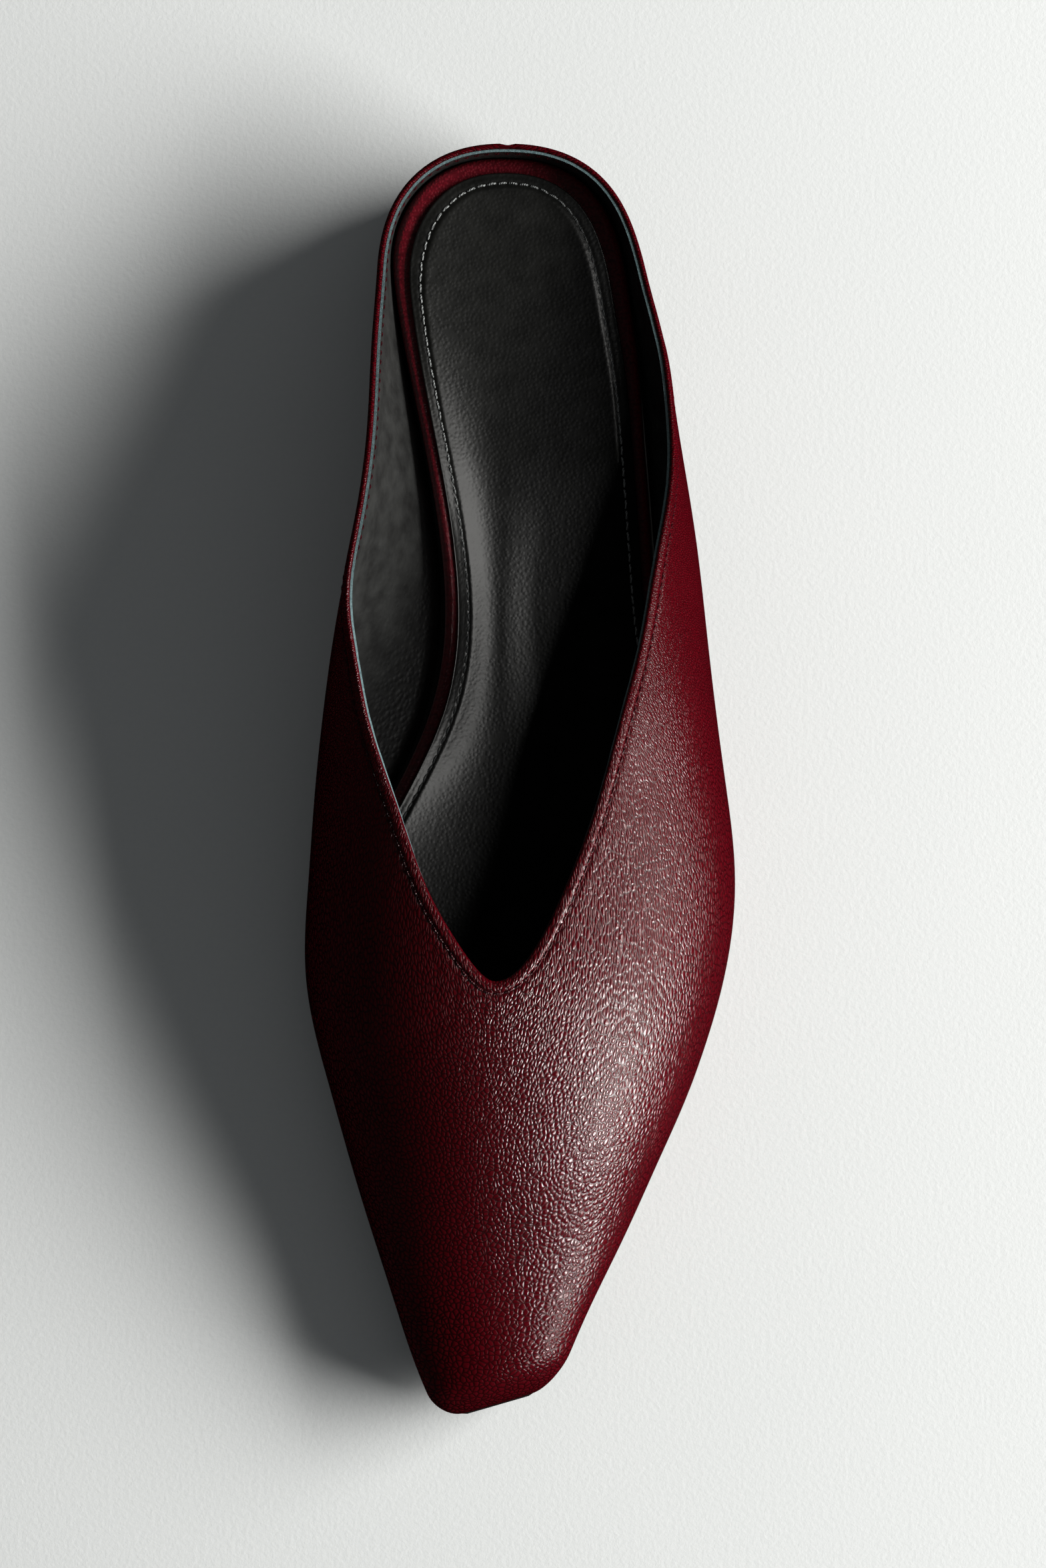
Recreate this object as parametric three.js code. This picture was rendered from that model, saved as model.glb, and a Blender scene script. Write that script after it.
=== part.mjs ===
// Flat pointed mule for the left foot, with a V throat and a low collar round the heel.
// Millimetres. +Z up, heel towards +Y, toe towards -Y, outer (lateral) side towards +X.
// Upper, soles and footbed are all worked out from one shoe last, given as sections along its length.
import * as THREE from 'three';
import { mergeVertices } from 'three/addons/utils/BufferGeometryUtils.js';

// ---- Driving dimensions ----
const LAST_LENGTH = 258.5; // along the axis of the last, heel back to middle of the toe edge
const BALL_WIDTH = 88.5;
const INSTEP_HEIGHT = 50; // tallest crown of the last above the foot of its wall
const HEEL_HEIGHT = 12; // floor to the underside of the outsole at the heel
const TOE_SPRING = 6;
const UPPER_WALL = 1.6; // outer leather and lining together
const OUTSOLE_THICKNESS = 3;
const SOLE_EDGE = 0.5; // how far the outsole stands out beyond the upper
const FOOTBED_THICKNESS = 4.2;
const FOOTBED_ROUNDING = 1.5; // radius of the leather-wrapped rim
const SOCK_THICKNESS = 1.5;
const BED_INSET = 2.5; // from the last's outline to the footbed's, at heel and toe
const SOCK_INSET = 2.6; // rim of the footbed left showing round the sock
const HEEL_TIP_THICKNESS = 3;
const HEEL_LENGTH = 60;
const HEEL_SETBACK = 1; // from the edge of the outsole in to the heel block
const HEEL_TAPER = 2; // how far the heel block draws in towards the floor
const BREAST_HOLLOW = 3; // depth of the curve of the heel's front face
const GAP = 0.3; // kept between pieces that touch
const SOCK_GAP = 0.4; // between the cupped faces of footbed and sock

// ---- Shape of the last ----
// Ends of the outline: the heel is a full round, the toe a short, slanted, squared edge.
const HEEL_ROUND = { length: 26.5, squareness: 2.28, endWidth: 0, centre: -3.5 };
const FLAT_HEEL = { ...HEEL_ROUND, endWidth: 0.12 }; // on soles, closed by a short flat
const TOE_ROUND = { length: 7, squareness: 2, endWidth: 0.54, centre: -4 };
const TOE_NOSE = 9; // length over which the toe box drops to its front edge
const TOE_SLANT = 0.28; // rise of the toe edge towards the little toe, per unit of width
const SLANT_START = 190; // distance from the heel where sections begin to slant
const ARCH_START = 62; // end of the flat heel seat
const ARCH_END = 135; // start of the flat forefoot
const SPRING_START = 205; // end of the flat forefoot
const BOX_MIDDLE = { x: -0.275, y: -1.055 }; // of the shoe's outer box, moved onto the origin

// One row for each section. "at" is a share of the length, in percent. The widths of sole, side
// and footbed rim are measured out from the axis in percent of the ball width; crown is the
// sideways place of the ridge on the same scale. The rises are heights above the foot of the
// wall, in percent of the instep height.
const SECTIONS = [
  { at: 0.0, soleMedial: 32.3, sideMedial: 33.8, riseMedial: 39.4,
    soleLateral: 25.2, sideLateral: 26.4, riseLateral: 39.4,
    crown: -4.5, crownRise: 93.4, rimMedial: 29.9, rimLateral: 22.6 },
  { at: 7.8, soleMedial: 32.3, sideMedial: 33.8, riseMedial: 39.4,
    soleLateral: 25.3, sideLateral: 26.5, riseLateral: 39.4,
    crown: -5.1, crownRise: 95.4, rimMedial: 29.6, rimLateral: 22.8 },
  { at: 15.5, soleMedial: 29.4, sideMedial: 35.6, riseMedial: 49.4,
    soleLateral: 28.5, sideLateral: 30.8, riseLateral: 39.4,
    crown: -6.2, crownRise: 97.4, rimMedial: 26.9, rimLateral: 26.2 },
  { at: 23.3, soleMedial: 25.2, sideMedial: 36.9, riseMedial: 61.4,
    soleLateral: 30.8, sideLateral: 35.1, riseLateral: 29.4,
    crown: -7.9, crownRise: 97.4, rimMedial: 22.8, rimLateral: 28.4 },
  { at: 31.0, soleMedial: 21.5, sideMedial: 40.1, riseMedial: 71.1,
    soleLateral: 32.8, sideLateral: 39.5, riseLateral: 21.1,
    crown: -9.0, crownRise: 96.1, rimMedial: 19.1, rimLateral: 30.2 },
  { at: 38.8, soleMedial: 20.8, sideMedial: 44.1, riseMedial: 58.1,
    soleLateral: 35.3, sideLateral: 42.7, riseLateral: 22.1,
    crown: -9.0, crownRise: 98.1, rimMedial: 18.1, rimLateral: 32.8 },
  { at: 44.6, soleMedial: 24.0, sideMedial: 46.3, riseMedial: 45.0,
    soleLateral: 39.0, sideLateral: 44.9, riseLateral: 26.0,
    crown: -8.8, crownRise: 98.0, rimMedial: 21.2, rimLateral: 36.6 },
  { at: 50.4, soleMedial: 31.2, sideMedial: 48.0, riseMedial: 35.1,
    soleLateral: 43.5, sideLateral: 47.4, riseLateral: 27.1,
    crown: -8.5, crownRise: 93.1, rimMedial: 28.4, rimLateral: 41.0 },
  { at: 58.1, soleMedial: 42.5, sideMedial: 49.6, riseMedial: 27.4,
    soleLateral: 47.5, sideLateral: 49.8, riseLateral: 24.4,
    crown: -8.1, crownRise: 84.6, rimMedial: 39.5, rimLateral: 44.9 },
  { at: 65.9, soleMedial: 48.1, sideMedial: 50.1, riseMedial: 22.4,
    soleLateral: 45.5, sideLateral: 47.5, riseLateral: 20.4,
    crown: -7.8, crownRise: 78.2, rimMedial: 45.4, rimLateral: 42.9 },
  { at: 73.6, soleMedial: 44.3, sideMedial: 45.4, riseMedial: 19.4,
    soleLateral: 39.5, sideLateral: 40.9, riseLateral: 18.4,
    crown: -7.5, crownRise: 68.6, rimMedial: 41.8, rimLateral: 36.9 },
  { at: 81.4, soleMedial: 37.5, sideMedial: 38.4, riseMedial: 18.3,
    soleLateral: 31.2, sideLateral: 32.2, riseLateral: 17.3,
    crown: -7.0, crownRise: 56.9, rimMedial: 35.0, rimLateral: 28.6 },
  { at: 89.1, soleMedial: 29.7, sideMedial: 30.5, riseMedial: 16.7,
    soleLateral: 22.1, sideLateral: 23.1, riseLateral: 15.7,
    crown: -6.3, crownRise: 40, rimMedial: 27.1, rimLateral: 19.5 },
  { at: 95.0, soleMedial: 23.9, sideMedial: 24.6, riseMedial: 14.6,
    soleLateral: 14.2, sideLateral: 14.6, riseLateral: 13.6,
    crown: -5.6, crownRise: 30, rimMedial: 22.0, rimLateral: 11.6 },
  { at: 100.0, soleMedial: 18.3, sideMedial: 18.8, riseMedial: 11.4,
    soleLateral: 7.2, sideLateral: 7.8, riseLateral: 11.4,
    crown: -5.1, crownRise: 21, rimMedial: 16.9, rimLateral: 4.1 },
];

// Edge of the upper, seen round each section: 0 is the foot of the wall, 1 its widest place and
// 2 the crown, where both edges meet at the point of the throat.
const THROAT_POINT = 65.9; // percent of the length
const TOPLINE = [
  { at: 0, medial: 0.52, lateral: 0.52 },
  { at: 7.8, medial: 0.64, lateral: 0.66 },
  { at: 15.5, medial: 0.8, lateral: 1.0 },
  { at: 23.3, medial: 0.89, lateral: 1.2 },
  { at: 31, medial: 0.95, lateral: 1.4 },
  { at: 38.8, medial: 1.26, lateral: 1.53 },
  { at: 44.6, medial: 1.43, lateral: 1.62 },
  { at: 50.4, medial: 1.58, lateral: 1.7 },
  { at: 58.1, medial: 1.74, lateral: 1.81 },
  { at: 62, medial: 1.84, lateral: 1.87 },
  { at: 65.9, medial: 2, lateral: 2 },
];

// Lift of the footbed's edges above its middle, in millimetres: a cupped heel and a raised arch.
const FOOTBED_LIFT = [
  { at: 0, medial: 1, lateral: 1 },
  { at: 15, medial: 1.6, lateral: 1.4 },
  { at: 38, medial: 4.5, lateral: 0.8 },
  { at: 52, medial: 2.5, lateral: 0.5 },
  { at: 66, medial: 0.4, lateral: 0.3 },
  { at: 100, medial: 0, lateral: 0 },
];

// ---- Interpolation ----
// Natural cubic spline through (xs, ys), as a function of x.
function splineThrough(xs, ys) {
  const count = xs.length;
  const bend = new Array(count).fill(0);
  const work = new Array(count).fill(0);
  for (let i = 1; i < count - 1; i++) {
    const before = xs[i] - xs[i - 1];
    const after = xs[i + 1] - xs[i];
    const share = before / (before + after);
    const pivot = share * bend[i - 1] + 2;
    const turn = (ys[i + 1] - ys[i]) / after - (ys[i] - ys[i - 1]) / before;
    bend[i] = (share - 1) / pivot;
    work[i] = ((6 * turn) / (before + after) - share * work[i - 1]) / pivot;
  }
  for (let i = count - 2; i >= 0; i--) {
    bend[i] = bend[i] * bend[i + 1] + work[i];
  }
  bend[0] = 0;
  return (x) => {
    let i = 0;
    while (i < count - 2 && x > xs[i + 1]) i++;
    const span = xs[i + 1] - xs[i];
    const a = (xs[i + 1] - x) / span;
    const b = (x - xs[i]) / span;
    const curve = (a ** 3 - a) * bend[i] + (b ** 3 - b) * bend[i + 1];
    return a * ys[i] + b * ys[i + 1] + (curve * span * span) / 6;
  };
}

function column(table, name, unit) {
  const stations = table.map((row) => (row.at / 100) * LAST_LENGTH);
  return splineThrough(stations, table.map((row) => row[name] * unit));
}

function smoothStep(value) {
  const t = THREE.MathUtils.clamp(value, 0, 1);
  return t * t * (3 - 2 * t);
}

const WIDTH_UNIT = BALL_WIDTH / 100;
const RISE_UNIT = INSTEP_HEIGHT / 100;
const SIDES = {
  medial: {
    sign: -1,
    sole: column(SECTIONS, 'soleMedial', WIDTH_UNIT),
    side: column(SECTIONS, 'sideMedial', WIDTH_UNIT),
    rise: column(SECTIONS, 'riseMedial', RISE_UNIT),
    rim: column(SECTIONS, 'rimMedial', WIDTH_UNIT),
    lift: column(FOOTBED_LIFT, 'medial', 1),
    topline: toplineOf('medial'),
  },
  lateral: {
    sign: 1,
    sole: column(SECTIONS, 'soleLateral', WIDTH_UNIT),
    side: column(SECTIONS, 'sideLateral', WIDTH_UNIT),
    rise: column(SECTIONS, 'riseLateral', RISE_UNIT),
    rim: column(SECTIONS, 'rimLateral', WIDTH_UNIT),
    lift: column(FOOTBED_LIFT, 'lateral', 1),
    topline: toplineOf('lateral'),
  },
};
const crownPlace = column(SECTIONS, 'crown', WIDTH_UNIT);
const crownRise = column(SECTIONS, 'crownRise', RISE_UNIT);

// The spline runs in the root of the distance left to the throat point, which rounds the V.
function toplineOf(name) {
  const rootLeft = (percent) => Math.sqrt(Math.max(0, 1 - percent / THROAT_POINT));
  const rows = [...TOPLINE].reverse();
  const curve = splineThrough(rows.map((row) => rootLeft(row.at)), rows.map((row) => row[name]));
  return (at) => (at >= THROAT ? 2 : curve(rootLeft((100 * at) / LAST_LENGTH)));
}

// Underside of the outsole: flat heel seat, arch, flat forefoot and toe spring.
function soleHeight(at) {
  const arch = smoothStep((ARCH_END - at) / (ARCH_END - ARCH_START));
  const spring = Math.max(0, (at - SPRING_START) / (LAST_LENGTH - SPRING_START));
  return HEEL_HEIGHT * arch + TOE_SPRING * spring * spring;
}

// Share of the full width left near a rounded end, at a distance from that end.
function roundOff(distance, round) {
  const t = THREE.MathUtils.clamp(1 - distance / round.length, 0, 1);
  const arc = (1 - t ** round.squareness) ** (1 / round.squareness);
  return round.endWidth + (1 - round.endWidth) * arc;
}

// Sideways place with both rounded ends worked in.
function narrowed(x, at, heelRound = HEEL_ROUND) {
  const heel = roundOff(at, heelRound);
  const toe = roundOff(LAST_LENGTH - at, TOE_ROUND);
  const atHeel = HEEL_ROUND.centre + (x - HEEL_ROUND.centre) * heel;
  return TOE_ROUND.centre + (atHeel - TOE_ROUND.centre) * toe;
}

// Point of the shoe at a distance from the heel back, a sideways place and a height.
function place(at, x, z) {
  const slant = TOE_SLANT * smoothStep((at - SLANT_START) / (LAST_LENGTH - SLANT_START));
  const y = LAST_LENGTH / 2 - at + slant * (x - TOE_ROUND.centre);
  return new THREE.Vector3(x - BOX_MIDDLE.x, y - BOX_MIDDLE.y, z);
}

// Surface of the last. "girth" runs from 0 at the foot of the wall through 1 at its widest place
// to 2 at the crown.
function lastPoint(side, at, girth) {
  const nose = TOE_NOSE - Math.min(TOE_NOSE, LAST_LENGTH - at);
  const drop = Math.sqrt(1 - (nose / TOE_NOSE) ** 2);
  const foot = soleHeight(at) + OUTSOLE_THICKNESS + GAP;
  const sole = side.sign * side.sole(at);
  const widest = side.sign * side.side(at);
  const low = Math.min(girth, 1);
  const high = ((Math.max(girth, 1) - 1) * Math.PI) / 2;
  const lower = sole + (widest - sole) * Math.sin((low * Math.PI) / 2);
  const x = lower + (crownPlace(at) - widest) * (1 - Math.cos(high));
  const z = side.rise(at) * low + (crownRise(at) - side.rise(at)) * Math.sin(high);
  return place(at, narrowed(x, at), foot + z * drop);
}

// ---- Stations along the last ----
const THROAT = (THROAT_POINT / 100) * LAST_LENGTH;
const THROAT_BEND = 16; // length over which the edge rounds into the throat point
const STEPS = { heel: 8, quarter: 22, throat: 5, vamp: 14, toe: 6 };

// Distances from the heel: close together round both ends and up to the throat point.
function stationsAlong() {
  const stations = [];
  const steps = (count, distanceAt) => {
    for (let i = 0; i < count; i++) stations.push(distanceAt(i / count));
  };
  const even = (from, to) => (t) => from + (to - from) * t;
  const toeStart = LAST_LENGTH - TOE_NOSE;
  steps(STEPS.heel, (t) => HEEL_ROUND.length * (1 - Math.cos((t * Math.PI) / 2)));
  steps(STEPS.quarter, even(HEEL_ROUND.length, THROAT - THROAT_BEND));
  steps(STEPS.throat, (t) => THROAT - THROAT_BEND * (1 - t) ** 2);
  steps(STEPS.vamp, (t) => THROAT + (toeStart - THROAT) * (t + t * t) * 0.5);
  steps(STEPS.toe, (t) => toeStart + TOE_NOSE * Math.sin((t * Math.PI) / 2));
  stations.push(LAST_LENGTH);
  return stations;
}

const STATIONS = stationsAlong();

// ---- Solids from points ----
const MERGE_DISTANCE = 1e-3;

// Closed solid from triangles of points; triangles with two corners in one place are left out.
function solidFrom(triangles) {
  const positions = [];
  for (const corners of triangles) {
    for (const corner of corners) positions.push(corner.x, corner.y, corner.z);
  }
  const loose = new THREE.BufferGeometry();
  loose.setAttribute('position', new THREE.Float32BufferAttribute(positions, 3));
  const merged = mergeVertices(loose, MERGE_DISTANCE);
  const kept = [];
  const index = merged.index.array;
  for (let i = 0; i < index.length; i += 3) {
    const [a, b, c] = [index[i], index[i + 1], index[i + 2]];
    if (a !== b && b !== c && c !== a) kept.push(a, b, c);
  }
  merged.setIndex(kept);
  return merged;
}

function addQuad(triangles, a, b, c, d) {
  triangles.push([a, b, c], [a, c, d]);
}

// Solid through a row of closed sections, each with the same number of points, in order from the
// heel to the toe and running clockwise when seen from the heel.
function loftSections(sections) {
  const triangles = [];
  const count = sections[0].length;
  for (let i = 0; i + 1 < sections.length; i++) {
    for (let k = 0; k < count; k++) {
      const next = (k + 1) % count;
      const [near, far] = [sections[i], sections[i + 1]];
      addQuad(triangles, near[k], far[k], far[next], near[next]);
    }
  }
  const [heelEnd, toeEnd] = [sections[0], sections[sections.length - 1]];
  for (let k = 1; k + 1 < count; k++) {
    triangles.push([heelEnd[0], heelEnd[k], heelEnd[k + 1]]);
    triangles.push([toeEnd[0], toeEnd[k + 1], toeEnd[k]]);
  }
  return solidFrom(triangles);
}

// Solid through level loops, from the lowest to the highest, each anticlockwise from above.
function stackLoops(loops) {
  const triangles = [];
  const count = loops[0].length;
  for (let i = 0; i + 1 < loops.length; i++) {
    for (let k = 0; k < count; k++) {
      const next = (k + 1) % count;
      addQuad(triangles, loops[i][k], loops[i][next], loops[i + 1][next], loops[i + 1][k]);
    }
  }
  const flat = loops[0].map((point) => new THREE.Vector2(point.x, point.y));
  for (const [a, b, c] of THREE.ShapeUtils.triangulateShape(flat, [])) {
    const top = loops[loops.length - 1];
    triangles.push([loops[0][a], loops[0][c], loops[0][b]]);
    triangles.push([top[a], top[b], top[c]]);
  }
  return solidFrom(triangles);
}

// ---- Upper ----
const WALL_ROWS = 10; // rows of facets from the foot of the wall up to its edge

function wallGrid(side) {
  return STATIONS.map((at) => {
    const edge = side.topline(at);
    const row = [];
    for (let j = 0; j <= WALL_ROWS; j++) row.push(lastPoint(side, at, (edge * j) / WALL_ROWS));
    return row;
  });
}

// Quads of a wall's grid with their faces outwards; the lateral grid is wound the other way.
function gridQuads(grid, flipped) {
  const triangles = [];
  for (let i = 0; i + 1 < grid.length; i++) {
    for (let j = 0; j < WALL_ROWS; j++) {
      const corners = [grid[i][j], grid[i + 1][j], grid[i + 1][j + 1], grid[i][j + 1]];
      if (flipped) corners.reverse();
      addQuad(triangles, ...corners);
    }
  }
  return triangles;
}

const KEY_STEPS = 4096; // steps per millimetre within which two places count as one
const keyOf = (point) => [point.x, point.y, point.z].map((v) => Math.round(v * KEY_STEPS)).join();

// Outward direction at every point of the outer surface, by place.
function outwardNormals(triangles) {
  const normals = new Map();
  for (const [a, b, c] of triangles) {
    const normal = new THREE.Vector3().subVectors(b, a).cross(new THREE.Vector3().subVectors(c, a));
    for (const corner of [a, b, c]) {
      const key = keyOf(corner);
      if (!normals.has(key)) normals.set(key, new THREE.Vector3());
      normals.get(key).add(normal);
    }
  }
  return normals;
}

// Inner surface: each point moved in by the wall thickness, level where the wall stands.
function innerGrid(grid, normals) {
  return grid.map((row, i) =>
    row.map((point, j) => {
      const inward = normals.get(keyOf(point)).clone();
      if (j === 0 || i === grid.length - 1) inward.z = 0;
      return point.clone().addScaledVector(inward.normalize(), -UPPER_WALL);
    }),
  );
}

function upperGeometry() {
  const outer = { medial: wallGrid(SIDES.medial), lateral: wallGrid(SIDES.lateral) };
  const outside = [...gridQuads(outer.medial, false), ...gridQuads(outer.lateral, true)];
  const normals = outwardNormals(outside);
  const triangles = [...outside];
  const last = STATIONS.length - 1;
  for (const name of ['medial', 'lateral']) {
    const flipped = name === 'lateral';
    const grid = outer[name];
    const inner = innerGrid(grid, normals);
    triangles.push(...gridQuads(inner, !flipped));
    const addEdge = (i, j, nextI, nextJ) => {
      const corners = [grid[i][j], grid[nextI][nextJ], inner[nextI][nextJ], inner[i][j]];
      if (flipped) corners.reverse();
      addQuad(triangles, ...corners);
    };
    for (let i = 0; i < last; i++) {
      addEdge(i + 1, 0, i, 0);
      if (STATIONS[i + 1] <= THROAT) addEdge(i, WALL_ROWS, i + 1, WALL_ROWS);
    }
    for (let j = 0; j < WALL_ROWS; j++) addEdge(last, j + 1, last, j);
  }
  return solidFrom(triangles);
}

// ---- Soles ----
// Place along the last for a piece that stands out beyond its outline, or in from it.
function stretched(at, margin) {
  return LAST_LENGTH / 2 + (at - LAST_LENGTH / 2) * (1 + (2 * margin) / LAST_LENGTH);
}

// Point over the flat of a sole: the width is narrowed at its own rounded ends.
function solePoint(side, at, width, margin, z) {
  const x = narrowed(side.sign * (width(at) + margin), at, FLAT_HEEL);
  return place(stretched(at, margin), x, z);
}

function outsoleGeometry() {
  const edgeTuck = 0.8; // bevel that turns the lower edge in
  const sections = STATIONS.map((at) => {
    const low = soleHeight(at);
    const top = low + OUTSOLE_THICKNESS;
    const point = (side, margin, z) => solePoint(side, at, side.sole, margin, z);
    const half = (side) => [
      point(side, SOLE_EDGE - edgeTuck, low),
      point(side, SOLE_EDGE, low + edgeTuck),
      point(side, SOLE_EDGE, top),
    ];
    return [...half(SIDES.medial), ...half(SIDES.lateral).reverse()];
  });
  return loftSections(sections);
}

// Level loop round the heel block: the outline of the outsole closed by a curved breast.
function heelLoop(z) {
  const margin = SOLE_EDGE - HEEL_SETBACK - HEEL_TAPER * (1 - z / HEEL_HEIGHT);
  const alongHeel = STATIONS.filter((at) => at < HEEL_LENGTH - 1);
  alongHeel.push(HEEL_LENGTH);
  const edge = (side) => alongHeel.map((at) => solePoint(side, at, side.sole, margin, z));
  const [medial, lateral] = [edge(SIDES.medial), edge(SIDES.lateral)];
  const breastSteps = 6;
  const [from, to] = [lateral[lateral.length - 1], medial[medial.length - 1]];
  const breast = [];
  for (let i = 1; i < breastSteps; i++) {
    const t = i / breastSteps;
    const point = from.clone().lerp(to, t);
    point.y += BREAST_HOLLOW * Math.sin(t * Math.PI);
    breast.push(point);
  }
  return [...medial.reverse(), ...lateral, ...breast].reverse();
}

function heelGeometry() {
  return stackLoops([heelLoop(HEEL_TIP_THICKNESS + GAP), heelLoop(HEEL_HEIGHT - GAP)]);
}

function heelTipGeometry() {
  return stackLoops([heelLoop(0), heelLoop(HEEL_TIP_THICKNESS)]);
}

// ---- Footbed and sock ----
const BED_MIDDLE = 0.5; // place of the trough's floor, as a share of the way out to the crown
const TROUGH = [-0.6, -0.25, 0.15, 0.6]; // shares of the half width, from medial to lateral

// Height of the footbed's upper face; "across" runs from -1 at the medial rim to 1 at the other.
function bedHeight(at, across) {
  const side = across < 0 ? SIDES.medial : SIDES.lateral;
  const base = soleHeight(at) + OUTSOLE_THICKNESS + GAP + FOOTBED_THICKNESS;
  return base + side.lift(at) * Math.abs(across) ** 2.5;
}

// Point of the footbed's upper face, moved in from the rim by an inset and up by a lift.
function bedPoint(at, across, inset, lift) {
  const side = across < 0 ? SIDES.medial : SIDES.lateral;
  const edge = narrowed(side.sign * (side.rim(at) - inset), at, FLAT_HEEL);
  const middle = narrowed(crownPlace(at) * BED_MIDDLE, at, FLAT_HEEL);
  const x = middle + (edge - middle) * Math.abs(across);
  return place(stretched(at, -BED_INSET - inset), x, bedHeight(at, across) + lift);
}

function footbedGeometry() {
  const round = FOOTBED_ROUNDING;
  const undercut = 1.5; // how far the underside draws in below the rim
  const sections = STATIONS.map((at) => {
    const floor = soleHeight(at) + OUTSOLE_THICKNESS + GAP;
    const half = (across) => {
      const under = bedPoint(at, across, undercut, 0);
      under.z = floor;
      const corners = [0, 1, 2].map((step) => {
        const turn = (step * Math.PI) / 4;
        return bedPoint(at, across, round * (1 - Math.cos(turn)), round * (Math.sin(turn) - 1));
      });
      return [under, ...corners];
    };
    const over = TROUGH.map((across) => bedPoint(at, across, round, 0));
    return [...half(-1), ...over, ...half(1).reverse()];
  });
  return loftSections(sections);
}

function sockGeometry() {
  const sections = STATIONS.map((at) => {
    const face = (lift) => [-1, ...TROUGH, 1].map((across) => bedPoint(at, across, SOCK_INSET, lift));
    return [...face(SOCK_GAP + SOCK_THICKNESS), ...face(SOCK_GAP).reverse()];
  });
  return loftSections(sections);
}

// ---- Assembly ----
const burgundyLeather = { color: 0x5d1119, roughness: 0.38, metalness: 0 };
const blackRubber = { color: 0x131313, roughness: 0.6, metalness: 0 };
const blackLeather = { color: 0x141414, roughness: 0.42, metalness: 0 };

function piece(name, geometry, finish) {
  const mesh = new THREE.Mesh(geometry, new THREE.MeshStandardMaterial(finish));
  mesh.name = name;
  return mesh;
}

const mule = new THREE.Group();
mule.add(
  piece('upper', upperGeometry(), burgundyLeather),
  piece('outsole', outsoleGeometry(), blackRubber),
  piece('heel', heelGeometry(), blackLeather),
  piece('heel_tip', heelTipGeometry(), blackRubber),
  piece('footbed', footbedGeometry(), burgundyLeather),
  piece('sock', sockGeometry(), blackLeather),
);

export default mule;
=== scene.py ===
"""Finish of a flat pointed mule: leathers, lining, stitching, soles, floor and light.

Lengths in the shoe's own tables are millimetres; meshes are made in metres. Heel towards +Y, toe
towards -Y, outer side towards +X, +Z up, floor at zero. Upper, lining, insole and soles are all
worked out from one last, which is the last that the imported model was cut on.
"""

import math

import bmesh
import bpy
import numpy as np
from mathutils import Matrix, Vector, kdtree
from mathutils.bvhtree import BVHTree


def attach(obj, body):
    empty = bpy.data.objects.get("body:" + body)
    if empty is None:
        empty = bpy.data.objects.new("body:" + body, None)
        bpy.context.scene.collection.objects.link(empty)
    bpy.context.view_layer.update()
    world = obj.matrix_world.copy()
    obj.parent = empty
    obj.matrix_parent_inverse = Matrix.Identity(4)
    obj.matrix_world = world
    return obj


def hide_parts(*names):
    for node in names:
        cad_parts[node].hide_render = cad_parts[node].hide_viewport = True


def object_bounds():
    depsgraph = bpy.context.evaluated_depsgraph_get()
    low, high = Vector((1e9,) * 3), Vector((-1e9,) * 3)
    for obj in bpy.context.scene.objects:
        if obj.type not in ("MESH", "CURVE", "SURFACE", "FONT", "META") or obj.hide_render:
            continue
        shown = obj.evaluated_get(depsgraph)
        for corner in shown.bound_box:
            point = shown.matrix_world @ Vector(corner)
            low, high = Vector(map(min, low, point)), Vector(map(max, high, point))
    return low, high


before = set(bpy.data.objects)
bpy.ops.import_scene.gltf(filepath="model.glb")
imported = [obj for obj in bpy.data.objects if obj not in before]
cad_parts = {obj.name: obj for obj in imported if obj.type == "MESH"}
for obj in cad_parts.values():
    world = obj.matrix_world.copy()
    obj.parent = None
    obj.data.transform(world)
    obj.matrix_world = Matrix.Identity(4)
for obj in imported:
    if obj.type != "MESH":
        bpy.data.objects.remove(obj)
cad_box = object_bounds()

MM = 0.001

# ---- Sizes of the shoe, in millimetres ----
LAST_LENGTH = 258.5
BALL_WIDTH = 88.5
INSTEP_HEIGHT = 50.0
HEEL_HEIGHT = 12.0
TOE_SPRING = 6.0
OUTSOLE_THICKNESS = 3.0
SOLE_EDGE = 0.5
FOOTBED_THICKNESS = 4.2
FOOTBED_ROUNDING = 1.5
SOCK_INSET = 2.6
BED_INSET = 2.5
HEEL_TIP_THICKNESS = 3.0
HEEL_LENGTH = 60.0
HEEL_SETBACK = 1.0
HEEL_TAPER = 2.0
BREAST_HOLLOW = 3.0
GAP = 0.3

LEATHER = 1.1  # outer leather at its folded edge
LINING = 0.5
GLUE_LINE = 0.03  # between two leathers that are glued together
LINING_TRIM = 0.2  # the lining's trimmed edge stands this far past its line of points
TOPLINE_STITCH = 1.9  # from the folded edge to the stitches
TOPLINE_ROLL = 0.2  # swell of the folded edge
TOPLINE_GROOVE = {"depth": 0.24, "width": 0.42}
BACK_SEAM = {"depth": 0.35, "width": 0.45, "start": 0.46, "fade": 4.0}  # start: share of length
FOOT_TUCK = {"height": 1.4, "share": 0.6}  # where the leather turns in under the shoe

SOCK_CUT_EDGE = 1.0  # sock at its cut edge
SOCK_PADDED = 1.6  # sock over its thin foam
SOCK_CORNER = 0.35  # rounding of that edge
SOCK_BORDER = 6.0  # rings follow the sock's outline as far in as this
SOCK_STITCH = 2.2  # from the sock's cut edge to the stitches
SOCK_GROOVE = {"depth": 0.22, "width": 0.6}
SOCK_SEAM_END = 225.0  # the vamp hides the seam beyond this distance from the heel
ARCH_SLOPE = 0.3  # climb of the sock towards the inner arch
HEEL_FULLNESS = {"most": 0.7, "end": 60.0, "fade": 40.0}  # the wrapped rim fills out at the heel
HEEL_SEAM = 0.02  # between the heel block and its neighbours

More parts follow.
